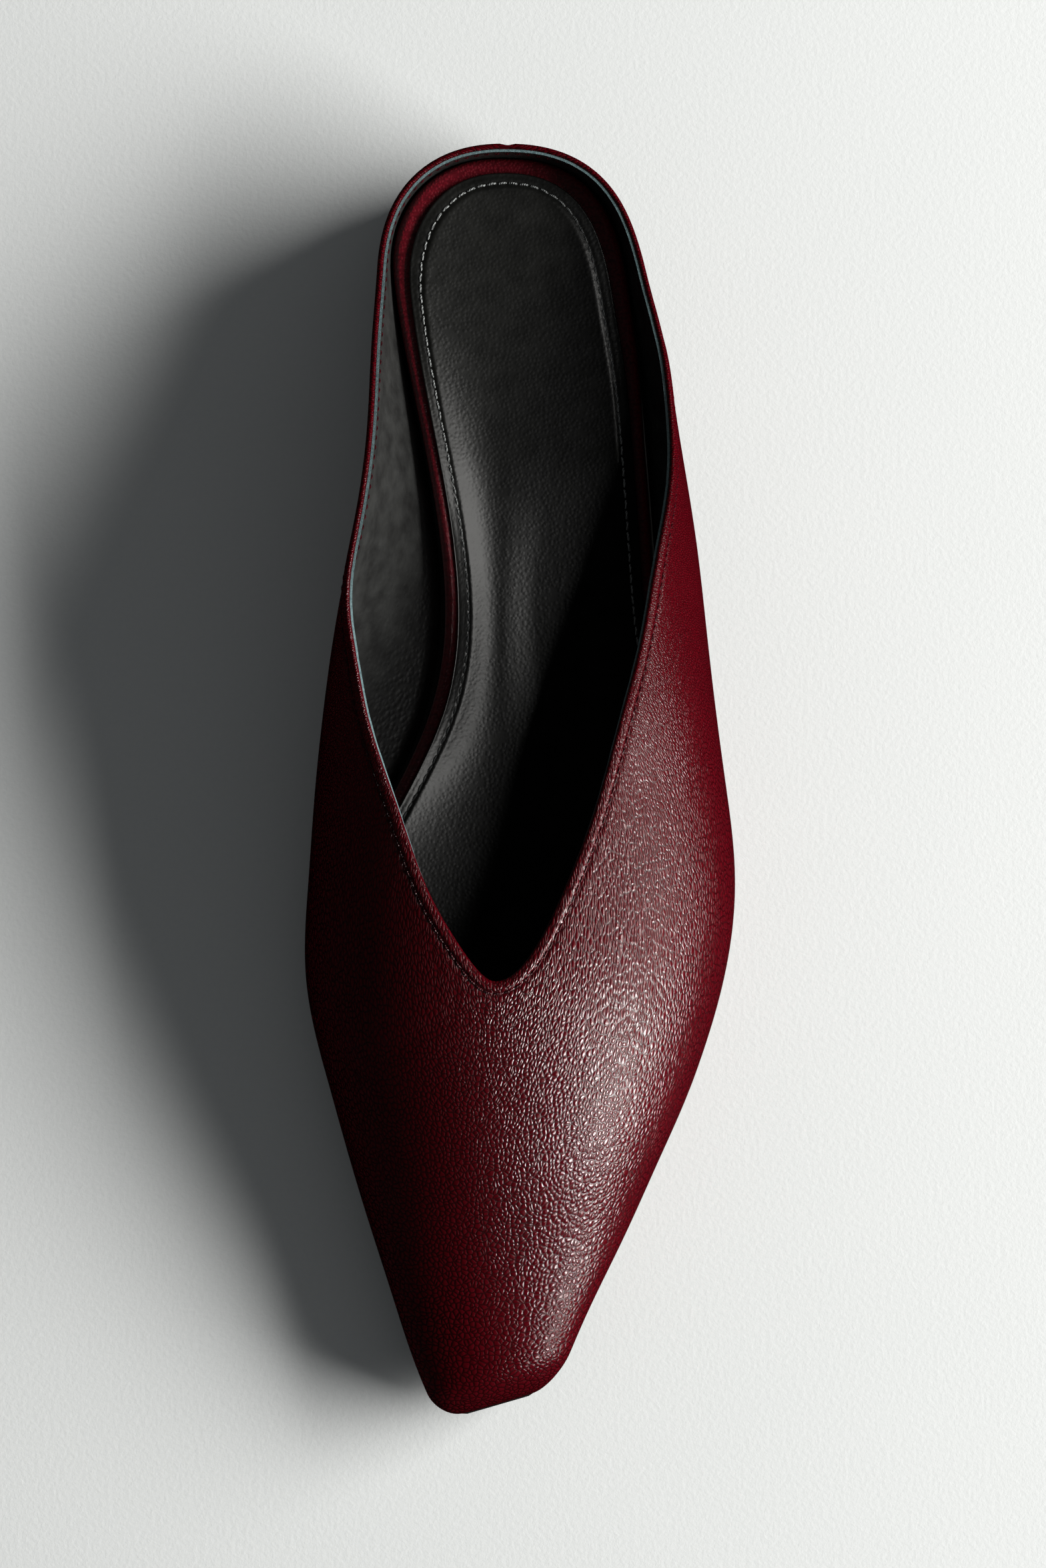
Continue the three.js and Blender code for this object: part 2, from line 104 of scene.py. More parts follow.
HEEL_ROUND = {"length": 26.5, "squareness": 2.28, "end_width": 0.0, "centre": -3.5}
TOE_ROUND = {"length": 7.0, "squareness": 2.0, "end_width": 0.54, "centre": -4.0}
TOE_NOSE = 9.0
TOE_SLANT = 0.28
SLANT_START = 190.0
ARCH_START = 62.0
ARCH_END = 135.0
SPRING_START = 205.0
THROAT_POINT = 65.9
THROAT = THROAT_POINT / 100 * LAST_LENGTH
THROAT_BEND = 16.0
BOX_MIDDLE = (-0.275, -1.055)

# Sections of the last: place in percent of the length, widths in percent of the ball width
# measured out from the axis, rises in percent of the instep height.
SECTION_COLUMNS = ("at", "sole_medial", "side_medial", "rise_medial", "sole_lateral",
                   "side_lateral", "rise_lateral", "crown", "crown_rise", "rim_medial",
                   "rim_lateral")
SECTIONS = (
    (0.0, 32.3, 33.8, 39.4, 25.2, 26.4, 39.4, -4.5, 93.4, 29.9, 22.6),
    (7.8, 32.3, 33.8, 39.4, 25.3, 26.5, 39.4, -5.1, 95.4, 29.6, 22.8),
    (15.5, 29.4, 35.6, 49.4, 28.5, 30.8, 39.4, -6.2, 97.4, 26.9, 26.2),
    (23.3, 25.2, 36.9, 61.4, 30.8, 35.1, 29.4, -7.9, 97.4, 22.8, 28.4),
    (31.0, 21.5, 40.1, 71.1, 32.8, 39.5, 21.1, -9.0, 96.1, 19.1, 30.2),
    (38.8, 20.8, 44.1, 58.1, 35.3, 42.7, 22.1, -9.0, 98.1, 18.1, 32.8),
    (44.6, 24.0, 46.3, 45.0, 39.0, 44.9, 26.0, -8.8, 98.0, 21.2, 36.6),
    (50.4, 31.2, 48.0, 35.1, 43.5, 47.4, 27.1, -8.5, 93.1, 28.4, 41.0),
    (58.1, 42.5, 49.6, 27.4, 47.5, 49.8, 24.4, -8.1, 84.6, 39.5, 44.9),
    (65.9, 48.1, 50.1, 22.4, 45.5, 47.5, 20.4, -7.8, 78.2, 45.4, 42.9),
    (73.6, 44.3, 45.4, 19.4, 39.5, 40.9, 18.4, -7.5, 68.6, 41.8, 36.9),
    (81.4, 37.5, 38.4, 18.3, 31.2, 32.2, 17.3, -7.0, 56.9, 35.0, 28.6),
    (89.1, 29.7, 30.5, 16.7, 22.1, 23.1, 15.7, -6.3, 40.0, 27.1, 19.5),
    (95.0, 23.9, 24.6, 14.6, 14.2, 14.6, 13.6, -5.6, 30.0, 22.0, 11.6),
    (100.0, 18.3, 18.8, 11.4, 7.2, 7.8, 11.4, -5.1, 21.0, 16.9, 4.1),
)

# Edge of the upper round each section: 0 the foot of the wall, 1 its widest place, 2 the crown.
TOPLINE_COLUMNS = ("at", "medial", "lateral")
TOPLINE = (
    (0.0, 0.52, 0.52),
    (7.8, 0.64, 0.66),
    (15.5, 0.8, 1.0),
    (23.3, 0.89, 1.2),
    (31.0, 0.95, 1.4),
    (38.8, 1.26, 1.53),
    (44.6, 1.43, 1.62),
    (50.4, 1.58, 1.7),
    (58.1, 1.74, 1.81),
    (62.0, 1.84, 1.87),
    (65.9, 2.0, 2.0),
)

# Lift of the footbed's edges above its middle: a cupped heel and a raised arch.
LIFT_COLUMNS = ("at", "medial", "lateral")
FOOTBED_LIFT = (
    (0.0, 1.0, 1.0),
    (15.0, 1.6, 1.4),
    (38.0, 4.5, 0.8),
    (52.0, 2.5, 0.5),
    (66.0, 0.4, 0.3),
    (100.0, 0.0, 0.0),
)
BED_MIDDLE = 0.5


# ---- The last ----
def spline_through(xs, ys):
    """Natural cubic spline through the points, as a function of an array."""
    xs, ys = np.asarray(xs, float), np.asarray(ys, float)
    count = len(xs)
    widths = np.diff(xs)
    slopes = np.diff(ys) / widths
    system = np.eye(count)
    turns = np.zeros(count)
    for i in range(1, count - 1):
        system[i, i - 1:i + 2] = widths[i - 1], 2 * (widths[i - 1] + widths[i]), widths[i]
        turns[i] = 6 * (slopes[i] - slopes[i - 1])
    bend = np.linalg.solve(system, turns)

    def curve(x):
        i = np.clip(np.searchsorted(xs, x, side="right") - 1, 0, count - 2)
        span = widths[i]
        a = (xs[i + 1] - x) / span
        b = (x - xs[i]) / span
        sag = ((a**3 - a) * bend[i] + (b**3 - b) * bend[i + 1]) * span**2 / 6
        return a * ys[i] + b * ys[i + 1] + sag

    return curve


def column(table, columns, name, unit=1.0):
    """Spline of one column of a table over the distance from the heel."""
    values = np.array(table)
    return spline_through(values[:, 0] / 100 * LAST_LENGTH, values[:, columns.index(name)] * unit)


def section(name, unit):
    return column(SECTIONS, SECTION_COLUMNS, name, unit)


def topline_of(name):
    """Edge of the upper on one side, as girth over the distance from the heel."""
    rows = np.array(TOPLINE)[::-1]

    def root_left(percent):
        return np.sqrt(np.maximum(0.0, 1 - percent / THROAT_POINT))

    curve = spline_through(root_left(rows[:, 0]), rows[:, TOPLINE_COLUMNS.index(name)])
    return lambda at: np.where(at >= THROAT, 2.0, curve(root_left(100 * at / LAST_LENGTH)))


WIDTH_UNIT = BALL_WIDTH / 100
RISE_UNIT = INSTEP_HEIGHT / 100
SIDES = {
    name: {
        "sign": sign,
        "sole": section("sole_" + name, WIDTH_UNIT),
        "side": section("side_" + name, WIDTH_UNIT),
        "rise": section("rise_" + name, RISE_UNIT),
        "rim": section("rim_" + name, WIDTH_UNIT),
        "lift": column(FOOTBED_LIFT, LIFT_COLUMNS, name),
        "topline": topline_of(name),
    }
    for name, sign in (("medial", -1), ("lateral", 1))
}
crown_place = section("crown", WIDTH_UNIT)
crown_rise = section("crown_rise", RISE_UNIT)


def smooth_step(value):
    t = np.clip(value, 0, 1)
    return t * t * (3 - 2 * t)


def sole_height(at):
    """Underside of the outsole: heel seat, arch, flat forefoot and toe spring."""
    arch = smooth_step((ARCH_END - at) / (ARCH_END - ARCH_START))
    spring = np.maximum(0, (at - SPRING_START) / (LAST_LENGTH - SPRING_START))
    return HEEL_HEIGHT * arch + TOE_SPRING * spring**2


def round_off(distance, end):
    """Share of the full width left near a rounded end."""
    t = np.clip(1 - distance / end["length"], 0, 1)
    arc = (1 - t ** end["squareness"]) ** (1 / end["squareness"])
    return end["end_width"] + (1 - end["end_width"]) * arc


def narrowed(x, at):
    """Sideways place with both rounded ends worked in."""
    at_heel = HEEL_ROUND["centre"] + (x - HEEL_ROUND["centre"]) * round_off(at, HEEL_ROUND)
    toe = round_off(LAST_LENGTH - at, TOE_ROUND)
    return TOE_ROUND["centre"] + (at_heel - TOE_ROUND["centre"]) * toe


def place(at, x, z):
    """Point of the shoe from its distance along the last, sideways place and height."""
    slant = TOE_SLANT * smooth_step((at - SLANT_START) / (LAST_LENGTH - SLANT_START))
    y = LAST_LENGTH / 2 - at + slant * (x - TOE_ROUND["centre"])
    x, y, z = np.broadcast_arrays(x - BOX_MIDDLE[0], y - BOX_MIDDLE[1], z)
    return np.stack((x, y, z), axis=-1)


def last_point(side, at, girth):
    nose = TOE_NOSE - np.minimum(TOE_NOSE, LAST_LENGTH - at)
    drop = np.sqrt(np.maximum(0, 1 - (nose / TOE_NOSE) ** 2))
    foot = sole_height(at) + OUTSOLE_THICKNESS + GAP
    sole = side["sign"] * side["sole"](at)
    widest = side["sign"] * side["side"](at)
    low = np.minimum(girth, 1)
    high = (np.maximum(girth, 1) - 1) * math.pi / 2
    lower = sole + (widest - sole) * np.sin(low * math.pi / 2)
    x = lower + (crown_place(at) - widest) * (1 - np.cos(high))
    z = side["rise"](at) * low + (crown_rise(at) - side["rise"](at)) * np.sin(high)
    return place(at, narrowed(x, at), foot + z * drop)


def unit(vectors):
    return vectors / np.maximum(np.linalg.norm(vectors, axis=-1, keepdims=True), 1e-12)


def last_normal(side, at, girth):
    """Outward direction of the last, from small steps along and round it."""
    step = 1e-3
    at = np.clip(at, 0.05, LAST_LENGTH - 0.05)
    ahead, behind = at + step, at - step
    along = last_point(side, ahead, girth) - last_point(side, behind, girth)
    round_it = last_point(side, at, girth + step) - last_point(side, at, girth - step)
    return unit(np.cross(round_it, along)) * side["sign"]


# ---- Stations and rows of the upper ----
STEPS = {"heel": 40, "quarter": 116, "throat": 24, "vamp": 100, "toe": 22}
THROAT_INDEX = STEPS["heel"] + STEPS["quarter"] + STEPS["throat"]
ROWS = 112
INNER_STEP = 8  # the hidden inner face of the leather has one row in eight
EDGE_ROWS = np.array([0, 0.3, 0.6, 0.9, 1.2, 1.5, 1.75, 2.0, 2.3, 2.7, 3.2, 3.8])


def stations_along():
    """Distances from the heel: close together round both ends and up to the throat point."""
    steps = {name: np.arange(count) / count for name, count in STEPS.items()}
    quarter_end = THROAT - THROAT_BEND
    toe_start = LAST_LENGTH - TOE_NOSE
    return np.concatenate((
        HEEL_ROUND["length"] * (1 - np.cos(steps["heel"] * math.pi / 2)),
        HEEL_ROUND["length"] + (quarter_end - HEEL_ROUND["length"]) * steps["quarter"],
        THROAT - THROAT_BEND * (1 - steps["throat"]) ** 2,
        THROAT + (toe_start - THROAT) * (0.4 * steps["vamp"] + 0.6 * steps["vamp"] ** 2),
        toe_start + TOE_NOSE * np.sin(steps["toe"] * math.pi / 2),
        [LAST_LENGTH],
    ))


STATIONS = stations_along()


def girth_rows(side):
    """Girths of the rows at every station: close together at the edge, then even."""
    shares = np.linspace(0, 1, 400)
    girths = side["topline"](STATIONS)[:, None] * shares
    points = last_point(side, STATIONS[:, None], girths)
    steps = np.linalg.norm(np.diff(points, axis=1), axis=-1)
    lengths = np.concatenate((np.zeros((len(STATIONS), 1)), np.cumsum(steps, axis=1)), axis=1)
    rows = []
    for girth, length in zip(girths, lengths):
        total = length[-1]
        edge = EDGE_ROWS[EDGE_ROWS < total * 0.5]
        even = np.linspace(edge[-1], total, ROWS - len(edge) + 2)[1:]
        from_edge = np.concatenate((edge, even))
        rows.append(np.interp(total - from_edge[::-1], length, girth))
    return np.array(rows)


def wall(name):
    """Points and outward directions of one side of the upper."""
    side = SIDES[name]
    girths = girth_rows(side)
    at = STATIONS[:, None]
    return last_point(side, at, girths), last_normal(side, at, girths)


def joined_sides():
    """Both walls, with one outward direction where they meet at the heel and the crown."""
    medial, medial_normal = wall("medial")
    lateral, lateral_normal = wall("lateral")
    for shared in ((0, slice(None)), (slice(THROAT_INDEX, None), -1)):
        both = unit(medial_normal[shared] + lateral_normal[shared])
        medial_normal[shared] = lateral_normal[shared] = both
    return np.stack((medial, lateral)), np.stack((medial_normal, lateral_normal))


def side_ids(stations, rows, throat, start):
    """Vertex numbers of both walls; they share the heel line and the crown line."""
    medial = start + np.arange(stations * rows).reshape(stations, rows)
    lateral = medial + stations * rows
    lateral[0] = medial[0]
    lateral[throat:, -1] = medial[throat:, -1]
    return np.stack((medial, lateral))


def quads(ids):
    """Quads between neighbouring rows and columns of a grid of vertex numbers."""
    corners = (ids[:-1, :-1], ids[1:, :-1], ids[1:, 1:], ids[:-1, 1:])
    return np.stack([corner.ravel() for corner in corners], axis=-1).tolist()


def band(rings):
    """Quads between closed rings of vertex numbers."""
    return quads(np.concatenate((rings, rings[:, :1]), axis=1))


def edge_loop(grid, throat):
    """Values along the closed topline: medial side towards the toe, lateral side back."""
    return np.concatenate((grid[0, :throat + 1, -1], grid[1, throat - 1:0:-1, -1]))


def fan(many, few):
    """Triangles between a fine edge and a coarse one that start and end together."""
    ratio = (len(many) - 1) // (len(few) - 1)
    faces = []
    for k in range(len(few) - 1):
        for i in range(k * ratio, (k + 1) * ratio):
            faces.append([many[i], many[i + 1], few[k]])
        faces.append([many[(k + 1) * ratio], few[k + 1], few[k]])
    return faces


# ---- Meshes ----
def new_object(name, data):
    made = bpy.data.objects.new(name, data)
    bpy.context.scene.collection.objects.link(made)
    return made


def mesh_piece(name, points, faces, sharp=60):
    """Closed mesh from points in millimetres: unused points dropped, faces turned outwards."""
    used = np.unique(np.concatenate([np.asarray(face) for face in faces]))
    renumber = np.zeros(len(points), int)
    renumber[used] = np.arange(len(used))
    mesh = bpy.data.meshes.new(name)
    kept = [[int(renumber[corner]) for corner in face] for face in faces]
    mesh.from_pydata((points[used] * MM).tolist(), [], kept)
    shape = bmesh.new()
    shape.from_mesh(mesh)
    bmesh.ops.dissolve_degenerate(shape, dist=1e-8, edges=shape.edges)
    bmesh.ops.recalc_face_normals(shape, faces=shape.faces)
    shape.to_mesh(mesh)
    shape.free()
    mesh.shade_smooth()
    mesh.set_sharp_from_angle(angle=math.radians(sharp))
    return new_object(name, mesh)


def positions(piece):
    """Places of a piece's vertices, in millimetres."""
    flat = np.empty(len(piece.data.vertices) * 3, np.float32)
    piece.data.vertices.foreach_get("co", flat)
    return flat.reshape(-1, 3).astype(float) / MM


def stack_of_rings(name, rings, material):
    """Closed body through rings of points; the first and last rings close on themselves."""
    count = len(rings[0])
    faces = band(np.arange(len(rings) * count).reshape(len(rings), count))
    for start, order in ((0, 1), ((len(rings) - 1) * count, -1)):
        for k in range(count // 2 - 1):
            across = start + count - 1 - k
            faces.append([start + k, start + k + 1, across - 1, across][::order])
    piece = mesh_piece(name, np.concatenate(rings), faces)
    piece.data.materials.append(material)
    return piece


# ---- Materials ----
def add_node(tree, kind, settings=None, **inputs):
    """New shader or geometry node; an input takes a number, a colour or another socket."""
    made = tree.nodes.new(kind)
    for name, value in (settings or {}).items():
        setattr(made, name, value)
    for name, value in inputs.items():
        feed(tree, made.inputs[name.replace("_", " ")], value)
    return made


def feed(tree, socket, value):
    if isinstance(value, bpy.types.NodeSocket):
        tree.links.new(value, socket)
    else:
        socket.default_value = value


def calculate(tree, operation, *values):
    made = tree.nodes.new("ShaderNodeMath")
    made.operation = operation
    for socket, value in zip(made.inputs, values):
        feed(tree, socket, value)
    return made.outputs[0]


def paint(tree, shader, value, stops):
    """Base colour from a value, through (place, colour) stops."""
    made = add_node(tree, "ShaderNodeValToRGB", Fac=value)
    elements = made.color_ramp.elements
    while len(elements) < len(stops):
        elements.new(0.5)
    for element, (where, colour) in zip(elements, stops):
        element.position = where
        element.color = (*colour, 1)
    tree.links.new(made.outputs["Color"], shader.inputs["Base Color"])


def spread(tree, value, low, high, to_low=0.0, to_high=1.0, shape="LINEAR"):
    """A value moved from one range to another and kept inside it."""
    made = add_node(tree, "ShaderNodeMapRange", {"interpolation_type": shape})
    for socket, number in zip(made.inputs, (value, low, high, to_low, to_high)):
        feed(tree, socket, number)
    return made.outputs["Result"]


def vary_roughness(tree, shader, value, low, high, to_low, to_high):
    roughness = spread(tree, value, low, high, to_low, to_high)
    tree.links.new(roughness, shader.inputs["Roughness"])


def new_material(name, specular, roughness=0.5):
    made = bpy.data.materials.new(name)
    made.use_nodes = True
    shader = made.node_tree.nodes["Principled BSDF"]
    shader.inputs["Roughness"].default_value = roughness
    shader.inputs["Specular IOR Level"].default_value = specular
    return made, made.node_tree, shader


def object_place(tree, stretch=(1, 1, 1), turn=(0, 0, 0)):
    """Object coordinates, turned and stretched."""
    source = tree.nodes.new("ShaderNodeTexCoord").outputs["Object"]
    return add_node(tree, "ShaderNodeMapping", Vector=source, Scale=stretch,
                    Rotation=turn).outputs["Vector"]


GRAIN_MAP = "grain"


def grain_place(tree, stretch):
    """A piece's own map of its surface, in metres, stretched."""
    source = add_node(tree, "ShaderNodeUVMap", {"uv_map": GRAIN_MAP}).outputs["UV"]
    return add_node(tree, "ShaderNodeMapping", Vector=source, Scale=stretch).outputs["Vector"]


def noise(tree, where, scale, detail=2.0, roughness=0.5):
    return add_node(tree, "ShaderNodeTexNoise", Vector=where, Scale=scale, Detail=detail,
                    Roughness=roughness).outputs["Fac"]


def pebbles(tree, where, cell, flat=False):
    """Height of leather pebbles of one cell size in metres: 1 on top, 0 in the furrows."""
    settings = {"feature": "SMOOTH_F1", "voronoi_dimensions": "2D" if flat else "3D"}
    made = add_node(tree, "ShaderNodeTexVoronoi", settings, Vector=where, Scale=1 / cell,
                    Smoothness=0.35)
    return spread(tree, made.outputs["Distance"], 0.12, 0.62, 1.0, 0.0)


def cracks(tree, where, cell, width):
    """Narrow furrows between the same pebbles: 0 along them, 1 beyond their width."""
    settings = {"feature": "DISTANCE_TO_EDGE", "voronoi_dimensions": "2D"}
    made = add_node(tree, "ShaderNodeTexVoronoi", settings, Vector=where, Scale=1 / cell)
    return spread(tree, made.outputs["Distance"], 0.0, width, shape="SMOOTHSTEP")


def bump(tree, shader, height, depth):
    """Relief too fine for the mesh; the depth is that of one unit of height, in metres."""
    made = add_node(tree, "ShaderNodeBump", Height=height, Distance=depth, Strength=1.0)
    tree.links.new(made.outputs["Normal"], shader.inputs["Normal"])


def upper_leather():
    """Burgundy nappa: small pebbles drawn out away from the throat, with narrow furrows painted
    darker as shade.
    """
    made, tree, shader = new_material("burgundy_nappa", specular=0.45)
    cell = 0.0007
    furrow_width = 0.3
    wandering = 0.0009
    where = grain_place(tree, (1.0, 0.7, 1.0))
    wander = add_node(tree, "ShaderNodeTexNoise", Vector=where, Scale=420.0, Detail=2.0)
    shift = add_node(tree, "ShaderNodeVectorMath", {"operation": "MULTIPLY_ADD"})
    tree.links.new(wander.outputs["Color"], shift.inputs[0])
    shift.inputs[1].default_value = (wandering, wandering, 0.0)
    tree.links.new(where, shift.inputs[2])
    grain = pebbles(tree, shift.outputs["Vector"], cell, flat=True)
    furrows = cracks(tree, shift.outputs["Vector"], cell, furrow_width)
    folds = noise(tree, grain_place(tree, (1.0, 0.3, 1.0)), 420.0, 3.0, 0.6)
    patches = noise(tree, object_place(tree), 60.0, 3.0)
    height = calculate(tree, "MULTIPLY_ADD", grain, 1.2, furrows)
    height = calculate(tree, "MULTIPLY_ADD", folds, 0.5, height)
    bump(tree, shader, height, 0.00004)
    # Painted shade: the colour darkens along the furrows as their shade would; the patches are the
    # leather's own uneven tone.
    paint(tree, shader, calculate(tree, "MULTIPLY_ADD", patches, 0.3, furrows),
          ((0.05, (0.009, 0.0001, 0.0006)), (0.6, (0.048, 0.0006, 0.0023)),
           (1.2, (0.062, 0.0009, 0.0032))))
    vary_roughness(tree, shader, furrows, 0, 1, 0.34, 0.22)
    return made


def rim_leather():
    """The same leather pulled round the insole board, wrinkled across the rim, with painted shade in
    its wrinkles.
    """
    made, tree, shader = new_material("burgundy_rim", roughness=0.42, specular=0.45)
    wrinkles = noise(tree, grain_place(tree, (1.0, 0.2, 1.0)), 1500.0, 2.0)
    grain = pebbles(tree, object_place(tree), 0.0006)
    height = calculate(tree, "MULTIPLY_ADD", wrinkles, 1.2, grain)
    bump(tree, shader, height, 0.00006)
    # Painted shade: the colour darkens where the relief is low, in the wrinkles' troughs and between
    # the pebbles.
    paint(tree, shader, height, ((0.2, (0.04, 0.0009, 0.003)), (1.4, (0.105, 0.0035, 0.0085))))
    return made


def lining_leather():
    """Thin black lining with a soft pebbled face."""
    made, tree, shader = new_material("lining_leather", roughness=0.42, specular=0.5)
    where = object_place(tree)
    grain = pebbles(tree, where, 0.0012)
    soft = noise(tree, where, 240.0, 3.0)
    bump(tree, shader, calculate(tree, "MULTIPLY_ADD", soft, 2.0, grain), 0.00007)
    paint(tree, shader, soft, ((0.3, (0.0125, 0.0125, 0.012)), (0.7, (0.027, 0.0274, 0.026))))
    return made


def lining_cut_edge():
    """Raw fibres of the trimmed lining, paler and bluish."""
    made, tree, shader = new_material("lining_cut_edge", roughness=0.8, specular=0.2)
    fibres = noise(tree, object_place(tree), 2200.0, 3.0, 0.7)
    bump(tree, shader, fibres, 0.0001)
    paint(tree, shader, fibres, ((0.3, (0.05, 0.085, 0.09)), (0.7, (0.14, 0.2, 0.205))))
    return made


def sock_leather():
    """Smooth black leather with a satin finish."""
    made, tree, shader = new_material("sock_leather", specular=0.5)
    where = object_place(tree)
    grain = pebbles(tree, where, 0.0008)
    soft = noise(tree, where, 220.0, 3.0)
    bump(tree, shader, calculate(tree, "MULTIPLY_ADD", soft, 0.6, grain), 0.00002)
    paint(tree, shader, soft, ((0.3, (0.0045, 0.0046, 0.004)), (0.7, (0.0085, 0.0086, 0.0075))))
    vary_roughness(tree, shader, soft, 0.3, 0.7, 0.31, 0.34)
    return made


def thread(name, dark, light):
    """Twisted sewing thread."""
    made, tree, shader = new_material(name, roughness=0.5, specular=0.4)
    twist = add_node(tree, "ShaderNodeTexWave", Vector=object_place(tree, turn=(0.4, 0.5, 0.6)),
                     Scale=900.0, Distortion=2.0).outputs["Fac"]
    bump(tree, shader, twist, 0.00006)
    paint(tree, shader, twist, ((0.0, dark), (1.0, light)))
    return made


def sole_material():
    """Black sole stock: satin, finely brushed, with faint scuffs."""
    made, tree, shader = new_material("black_sole", specular=0.4)
    brushed = noise(tree, object_place(tree, (1, 0.15, 4)), 1400.0, 3.0, 0.6)
    scuffs = noise(tree, object_place(tree, (1, 0.5, 1)), 90.0, 5.0, 0.7)
    bump(tree, shader, brushed, 0.00005)
    paint(tree, shader, scuffs, ((0.35, (0.0075, 0.0075, 0.0073)), (0.8, (0.022, 0.0215, 0.02))))
    vary_roughness(tree, shader, scuffs, 0.3, 0.7, 0.4, 0.6)
    return made


def heel_material():
    """Stacked and blackened heel: thin level layers."""
    made, tree, shader = new_material("heel_stack", roughness=0.42, specular=0.45)
    layers = add_node(tree, "ShaderNodeTexWave", {"bands_direction": "Z"},
                      Vector=object_place(tree), Scale=180.0, Distortion=0.4,
                      Detail=1.0).outputs["Fac"]
    fibres = noise(tree, object_place(tree, (1, 1, 6)), 900.0, 3.0)
    line = spread(tree, layers, 0.0, 0.12)
    height = calculate(tree, "MULTIPLY_ADD", fibres, 0.3, line)
    bump(tree, shader, height, 0.00008)
    paint(tree, shader, height, ((0.1, (0.004, 0.0038, 0.0036)), (1.0, (0.014, 0.0128, 0.012))))
    return made


def rubber_material():
    made, tree, shader = new_material("top_piece_rubber", roughness=0.65, specular=0.3)
    speckle = noise(tree, object_place(tree), 1800.0, 3.0)
    bump(tree, shader, speckle, 0.00008)
    paint(tree, shader, speckle, ((0.3, (0.008, 0.008, 0.008)), (0.7, (0.02, 0.02, 0.0195))))
    return made


def floor_material():
    made, tree, shader = new_material("pale_paper", roughness=0.85, specular=0.15)
    tooth = noise(tree, object_place(tree), 900.0, 4.0, 0.65)
    clouds = noise(tree, object_place(tree), 14.0, 3.0)
    bump(tree, shader, tooth, 0.00006)
    paint(tree, shader, calculate(tree, "MULTIPLY_ADD", clouds, 0.4, tooth),
          ((0.35, (0.70, 0.715, 0.70)), (0.95, (0.74, 0.75, 0.735))))
    return made


MATERIALS = {
    "upper": upper_leather(),
    "rim": rim_leather(),
    "lining": lining_leather(),
    "lining_edge": lining_cut_edge(),
    "sock": sock_leather(),
    "topline_thread": thread("burgundy_thread", (0.012, 0.0006, 0.0014), (0.05, 0.002, 0.005)),
    "sock_thread": thread("grey_thread", (0.06, 0.062, 0.06), (0.3, 0.31, 0.3)),
    "sole": sole_material(),
    "heel": heel_material(),
    "rubber": rubber_material(),
    "floor": floor_material(),
}


# ---- Upper: surface shaping ----
FAN_CENTRE = (-4.0, 20.0)  # the leather's folds and grain run outwards from here
FAN_RADIUS = 60.0
HEEL_ANGLE = 2.5  # the fan's angle, in radians, jumps to its other end somewhere beyond this

# Creases, listed one by one as soft troughs with a ridge on each side: ends, bow, depth and width.
CREASES = (
    {"start": (-13.0, -43.0), "end": (-33.0, -55.0), "bow": 2.0, "depth": 0.06, "width": 2.0},
    {"start": (4.0, -44.0), "end": (20.0, -60.0), "bow": 2.5, "depth": 0.05, "width": 2.0},
    {"start": (9.0, -42.0), "end": (28.0, -54.0), "bow": 2.0, "depth": 0.04, "width": 1.8},
    {"start": (12.0, -37.0), "end": (31.0, -45.0), "bow": 2.0, "depth": 0.03, "width": 1.6},
)
CREASES_ABOVE = {"height": 12.0, "fade": 8.0}  # the creases die out towards the sole
PUCKERS = {"depth": 0.045, "pitch": 2.6, "reach": 9.0, "start": 2.2, "wander": 1.4}
FOLD_STEPS = 8


def fan_place(points):
    """Angle about the fan's centre, from the toe direction, and distance from it."""
    x, y = points[:, 0] - FAN_CENTRE[0], points[:, 1] - FAN_CENTRE[1]
    return np.arctan2(x, -y), np.hypot(x, y)


def crease_height(points):
    total = np.zeros(len(points))
    for crease in CREASES:
        start, end = np.array(crease["start"]), np.array(crease["end"])
        run = end - start
        length = np.linalg.norm(run)
        along = (points[:, :2] - start) @ run / length**2
        across = (points[:, :2] - start) @ np.array((-run[1], run[0])) / length
        across = across - crease["bow"] * 4 * along * (1 - along)
        share = across / crease["width"]
        trough = -np.exp(-share**2)
        ridges = 0.5 * (np.exp(-(share - 2) ** 2) + np.exp(-(share + 2) ** 2))
        fade = smooth_step(along * 4) * smooth_step((1 - along) * 2.5)
        total += crease["depth"] * fade * (trough + ridges)
    return total


def pucker_height(angle, radius, from_edge):
    """Fine folds that the topline stitching draws out across the leather, most at the throat."""
    around = angle * np.sqrt(radius * FAN_RADIUS)
    wander = np.sin(around * 0.37 + 1.0) + 0.7 * np.sin(around * 0.83 + from_edge * 0.21)
    folds = np.sin(around * 2 * math.pi / PUCKERS["pitch"] + PUCKERS["wander"] * wander)
    reach = np.exp(-from_edge / PUCKERS["reach"]) * smooth_step(from_edge / PUCKERS["start"])
    near_throat = np.exp(-(((np.abs(angle) - 0.6) / 0.75) ** 2))
    return PUCKERS["depth"] * folds * reach * (0.35 + 0.65 * near_throat)


def groove_depth(across, groove):
    """Depth of a soft groove at a distance from its middle."""
    return groove["depth"] * np.exp(-((across / groove["width"]) ** 2))


def edge_height(from_edge):
    """Folded edge: a soft roll up to the stitches, which sink into a groove."""
    roll = TOPLINE_ROLL * np.sin(math.pi * np.clip(from_edge / TOPLINE_STITCH, 0, 1))
    return roll - groove_depth(from_edge - TOPLINE_STITCH, TOPLINE_GROOVE)


def nearest_distance(points, line):
    """Distance from each point to a closed line of points."""
    fine = np.concatenate([line + (np.roll(line, -1, axis=0) - line) * t / 4 for t in range(4)])
    tree = kdtree.KDTree(len(fine))
    for i, point in enumerate(fine):
        tree.insert(point, i)
    tree.balance()
    return np.array([tree.find(point)[2] for point in points])


def back_seam_height(points):
    """Closed seam up the middle of the heel."""
    behind = smooth_step((points[:, 1] - LAST_LENGTH * BACK_SEAM["start"]) / BACK_SEAM["fade"])
    across = points[:, 0] - (HEEL_ROUND["centre"] - BOX_MIDDLE[0])
    return -behind * groove_depth(across, BACK_SEAM)


